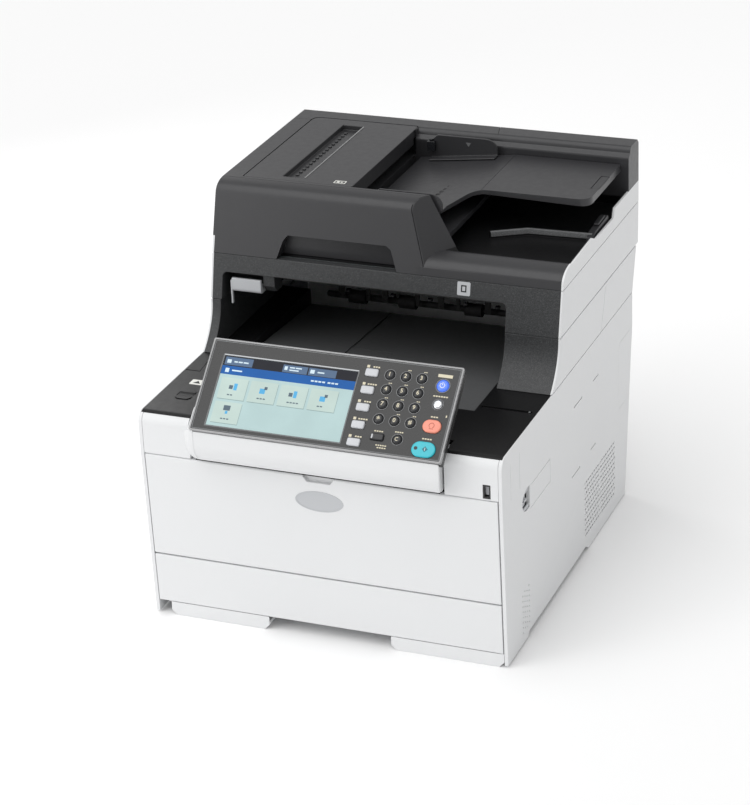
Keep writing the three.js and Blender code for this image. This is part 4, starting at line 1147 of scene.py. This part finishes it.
def make_dome(name, x, y, wide, crown, look=None):
    """A round key's cap."""
    make_cap(name, x, y, wide, wide, ROUND, DOME, crown, look)


def add_collar(bm, x, y, wide, thick, tall):
    """The raised ring round a round key."""
    outline = key_outline(x, y, wide, wide, ROUND)
    add_frame(bm, outline(-0.45 - thick), outline(-0.45), -0.2, tall)


def make_keys():
    collars = bmesh.new()
    for index, (sign, node) in enumerate(zip(DIGITS, DIGIT_NODES)):
        x, y = COLUMN_X[index % 3], ROW_Y[index // 3]
        make_dome(node, x, y, DIGIT_WIDE, 2.5)
        add_collar(collars, x, y, DIGIT_WIDE, 0.75, 0.45)
        size, drop = (9, 1.2) if sign == "*" else (6.6, 0)
        mark = glyph(sign, size, x, y - drop, 2.4, 0.34)
        piece(f"key_{node}_sign", mark, "key_" + node, "light_grey", CREAM, 0)
    for index, node in enumerate(FUNCTION_NODES):
        make_cap(node, FUNCTION_X, FUNCTION_Y + index * FUNCTION_PITCH, 15, 9, 2, PAD_CAP, 2.2)
    make_cap("status", *STATUS_AT, 15, 8, 2, PAD_CAP, 2.2)
    make_dome("clear", *CLEAR_AT, DIGIT_WIDE, 2.5)
    make_dome("power", *POWER_AT, POWER_WIDE, 2.6)
    make_dome("power_save", *SAVE_AT, DIGIT_WIDE, 2.6, CHROME)
    make_cap("stop", *STOP_AT, 21, 15, 7.5, PAD_CAP, 2.4)
    make_cap("start", *START_AT, 27, 18, 9, PAD_CAP, 2.5)
    add_collar(collars, *CLEAR_AT, DIGIT_WIDE, 0.75, 0.45)
    add_collar(collars, *POWER_AT, POWER_WIDE, 0.9, 0.6)
    add_collar(collars, *SAVE_AT, DIGIT_WIDE, 0.7, 0.5)
    panel_piece("key_collars", collars, "light_grey", COLLAR, 0.15)


def key_sign(name, key, parts, look, top):
    """Small raised shapes on a key's crown."""
    bm = bmesh.new()
    for outline in parts:
        add_prism(bm, outline, 1.7, top)
    panel_piece(name, bm, "light_grey", look, body="key_" + key)


ARC_STEPS = 12


def arc_band(x, y, r, wide, start, stop):
    """The outline of part of a ring."""
    turns = [math.radians(start + (stop - start) * k / ARC_STEPS) for k in range(ARC_STEPS + 1)]
    outside = [(x + r * math.cos(t), y + r * math.sin(t)) for t in turns]
    inside = [(x + (r - wide) * math.cos(t), y + (r - wide) * math.sin(t)) for t in reversed(turns)]
    return outside + inside


def make_key_signs():
    pale = LOOKS["pad_white"]
    grey = LOOKS["light_grey"]
    key_sign("key_clear_sign", "clear", [arc_band(*CLEAR_AT, 2.2, 0.7, 50, 310)], CREAM, 2.55)
    x, y = POWER_AT
    power = [arc_band(x, y - 0.2, 3.0, 0.7, 120, 420), rounded(x - 0.35, y + 0.1, x + 0.35, y + 3.5, 0.2, 1)]
    key_sign("key_power_sign", "power", power, pale, 2.66)
    key_sign("key_power_save_sign", "power_save", [arc_band(*SAVE_AT, 2.2, 0.6, 60, 300)], grey, 2.64)
    x, y = STOP_AT
    ring = arc_band(x, y + 0.4, 3.2, 0.6, -60, 240)
    bar = [(x - 2.2, y - 3.7), (x + 2.2, y - 3.7), (x + 2.2, y - 3.1), (x - 2.2, y - 3.1)]
    key_sign("key_stop_sign", "stop", [ring, bar], SALMON_MARK, 2.5)
    x, y = START_AT
    diamond = [(x - 1.3, y), (x + 2, y + 3.3), (x + 5.3, y), (x + 2, y - 3.3)]
    bar = [(x + 1.7, y - 1.7), (x + 2.3, y - 1.7), (x + 2.3, y + 1.7), (x + 1.7, y + 1.7)]
    key_sign("key_start_diamond", "start", [diamond], TEAL_MARK, 2.52)
    key_sign("key_start_bar", "start", [bar], pale, 2.56)
    lamp = circle(x - 8.4, y + 0.2, 2.0, 16)
    key_sign("key_start_lamp", "start", [lamp], LOOKS["drum_black"], 2.5)
    x, y = STATUS_AT
    lamp = rounded(x - 6.4, y - 2.6, x - 4.6, y + 2.4, 0.6, 2)
    key_sign("key_status_lamp", "status", [lamp], grey, 2.3)


def dress_panel():
    replacement("panel_face", copied("panel_housing"), "panel_housing", radius=0.35)
    panel_rim()
    screen_frame()
    screen_picture()
    panel_print()
    make_keys()
    make_key_signs()


BELLY_MIDDLE = (4, 240)
BELLY_RADIUS = 29.5
BELLY_END = -135
CHEEK_DEPTH = 15.3
CHEEK_RINGS = 10


def belly_outline():
    """The belly's section: a quarter round below the panel's front edge."""
    y, z = BELLY_MIDDLE
    turns = [math.radians(180 + 7.5 * step) for step in range(13)]
    arc = [(y + BELLY_RADIUS * math.cos(turn), z + BELLY_RADIUS * math.sin(turn)) for turn in turns]
    back = [(12, 222), (14, 258), (10, 274.2), (-4, 261.4), (-18.2, 248.4)]
    return [(-25.5, 256.4), (-25.5, 248)] + arc + back


def belly_cheek():
    """The belly's left end, rounded off beyond the panel."""
    bm = bmesh.new()
    middle = Vector((0, *BELLY_MIDDLE))
    section = [Vector((0, y, z)) for y, z in belly_outline()]
    rings = []
    for step in range(CHEEK_RINGS):
        turn = math.radians(86 * step / (CHEEK_RINGS - 1))
        shrink = math.cos(turn) ** 0.4
        out = Vector((BELLY_END - CHEEK_DEPTH * math.sin(turn), 0, 0))
        rings.append([bm.verts.new(out + middle + (point - middle) * shrink) for point in section])
    for one, two in zip(rings, rings[1:]):
        join_rings(bm, one, two)
    bm.faces.new(rings[0])
    bm.faces.new(rings[-1])
    return built(bm)


def dress_belly():
    main = carved(copied("panel_belly"), box_mesh((-200, -136, -60, 60, 190, 300)))
    replacement("panel_belly_shape", main, "panel_belly", radius=2.0)
    cheek = replacement("panel_belly_cheek", belly_cheek(), "panel_belly", radius=0)
    sharp_shading(cheek.data, 40)


def panel_stay():
    """A small pale stay under the panel's right end."""
    stay = prism_mesh(([(2, 257.2), (15, 257.2), (15, 264)], 146.4, 149.6), axis="X")
    piece("panel_stay", stay, "printer_body", "light_grey", radius=0.4)


# ---------------------------------------------------------------- front, inlet and insides
def front_face_at(z):
    """How far back the door's leaning face lies at a height."""
    return (206.6 - z) * 0.04


BADGE_AT = (0.5, 176.5)
BADGE_SIDES = 48


def blank_badge():
    """An oval badge with a raised rim and nothing on it."""
    bm = bmesh.new()
    outer = circle(*BADGE_AT, 28.5, BADGE_SIDES, 0.44)
    inner = circle(*BADGE_AT, 26.9, BADGE_SIDES, 0.42)
    steps = ((outer, -0.2), (outer, 0.5), (inner, 0.5), (inner, 0.2))
    rings = [[bm.verts.new((x, front_face_at(z) - out, z)) for x, z in line] for line, out in steps]
    for one, two in zip(rings, rings[1:]):
        join_rings(bm, one, two)
    bm.faces.new(rings[-1])
    bm.faces.new(rings[0])
    badge = piece("blank_badge", built(bm), "front_door", "light_grey", radius=0)
    badge.data.shade_smooth()
    split = badge.modifiers.new("edges", "EDGE_SPLIT")
    split.split_angle = math.radians(35)


def dress_front():
    """A black strip on the door's upper edge, painted shade under the belly, and the USB socket's tongue."""
    # Painted shade: a black strip where the belly shades the top of the door.
    shade_strip = box_mesh((-147, 142, 1.9, 8.3, 206.4, 207.0))
    piece("door_top_painted_shade", shade_strip, "front_door", "rubber", radius=0)
    tongue = box_mesh((193.2, 198.8, 5, 6, 212, 223))
    piece("usb_tongue", tongue, "printer_body", "light_grey", LOOKS["key_grey"], 0.2)


def dress_inlet():
    """The power inlet's three pins."""
    places = ((158, 42), (172, 42), (165, 48))
    pins = box_mesh(*[(x - 1.1, x + 1.1, 446, 455, z - 2.4, z + 2.4) for x, z in places])
    piece("inlet_pins", pins, "printer_body", "steel", CHROME, 0.3)


TONERS = {
    "yellow": linear(232, 200, 40),
    "magenta": linear(200, 40, 110),
    "cyan": linear(40, 150, 205),
    "black": linear(60, 60, 62),
}
DRUM_START = 104
DRUM_PITCH = 74


def dress_insides():
    """The drum basket with its toner colour marks, and the fuser's ribs."""
    replacement("drum_basket_shape", copied("drum_basket"), "drum_basket", radius=0.6)
    for index, (name, color) in enumerate(TONERS.items()):
        y = DRUM_START + index * DRUM_PITCH
        mark = box_mesh((120, 148, y - 12, y + 12, 199.7, 200.5))
        look = plastic("toner_" + name, color, 0.4, tone=0.04, light=1.2)
        piece("drum_mark_" + name, mark, "printer_body", "drum_black", look, 0.3)
    ribs = box_mesh(*[(x - 1, x + 1, 400, 438, 203.6, 206) for x in range(-132, 133, 33)])
    piece("fuser_ribs", ribs, "printer_body", "steel", radius=0.3)


# ---------------------------------------------------------------- the machine
make_camera()
make_studio()

for kept, kept_radius in KEPT_RADIUS.items():
    dress(kept, kept_radius)

split_frame()
split_stand()
split_skins("left_arm")
split_skins("right_arm")
dress_right_side()
dress_left_side()
vent_shade_sheets()
dress_tray()
dress_deck()
dress_exit()
dress_scanner()
split_feeder()
dress_shelf()
dress_feeder_cover()
dress_input_tray()
dress_guides()
dress_panel()
dress_belly()
panel_stay()
blank_badge()
dress_front()
dress_inlet()
dress_insides()
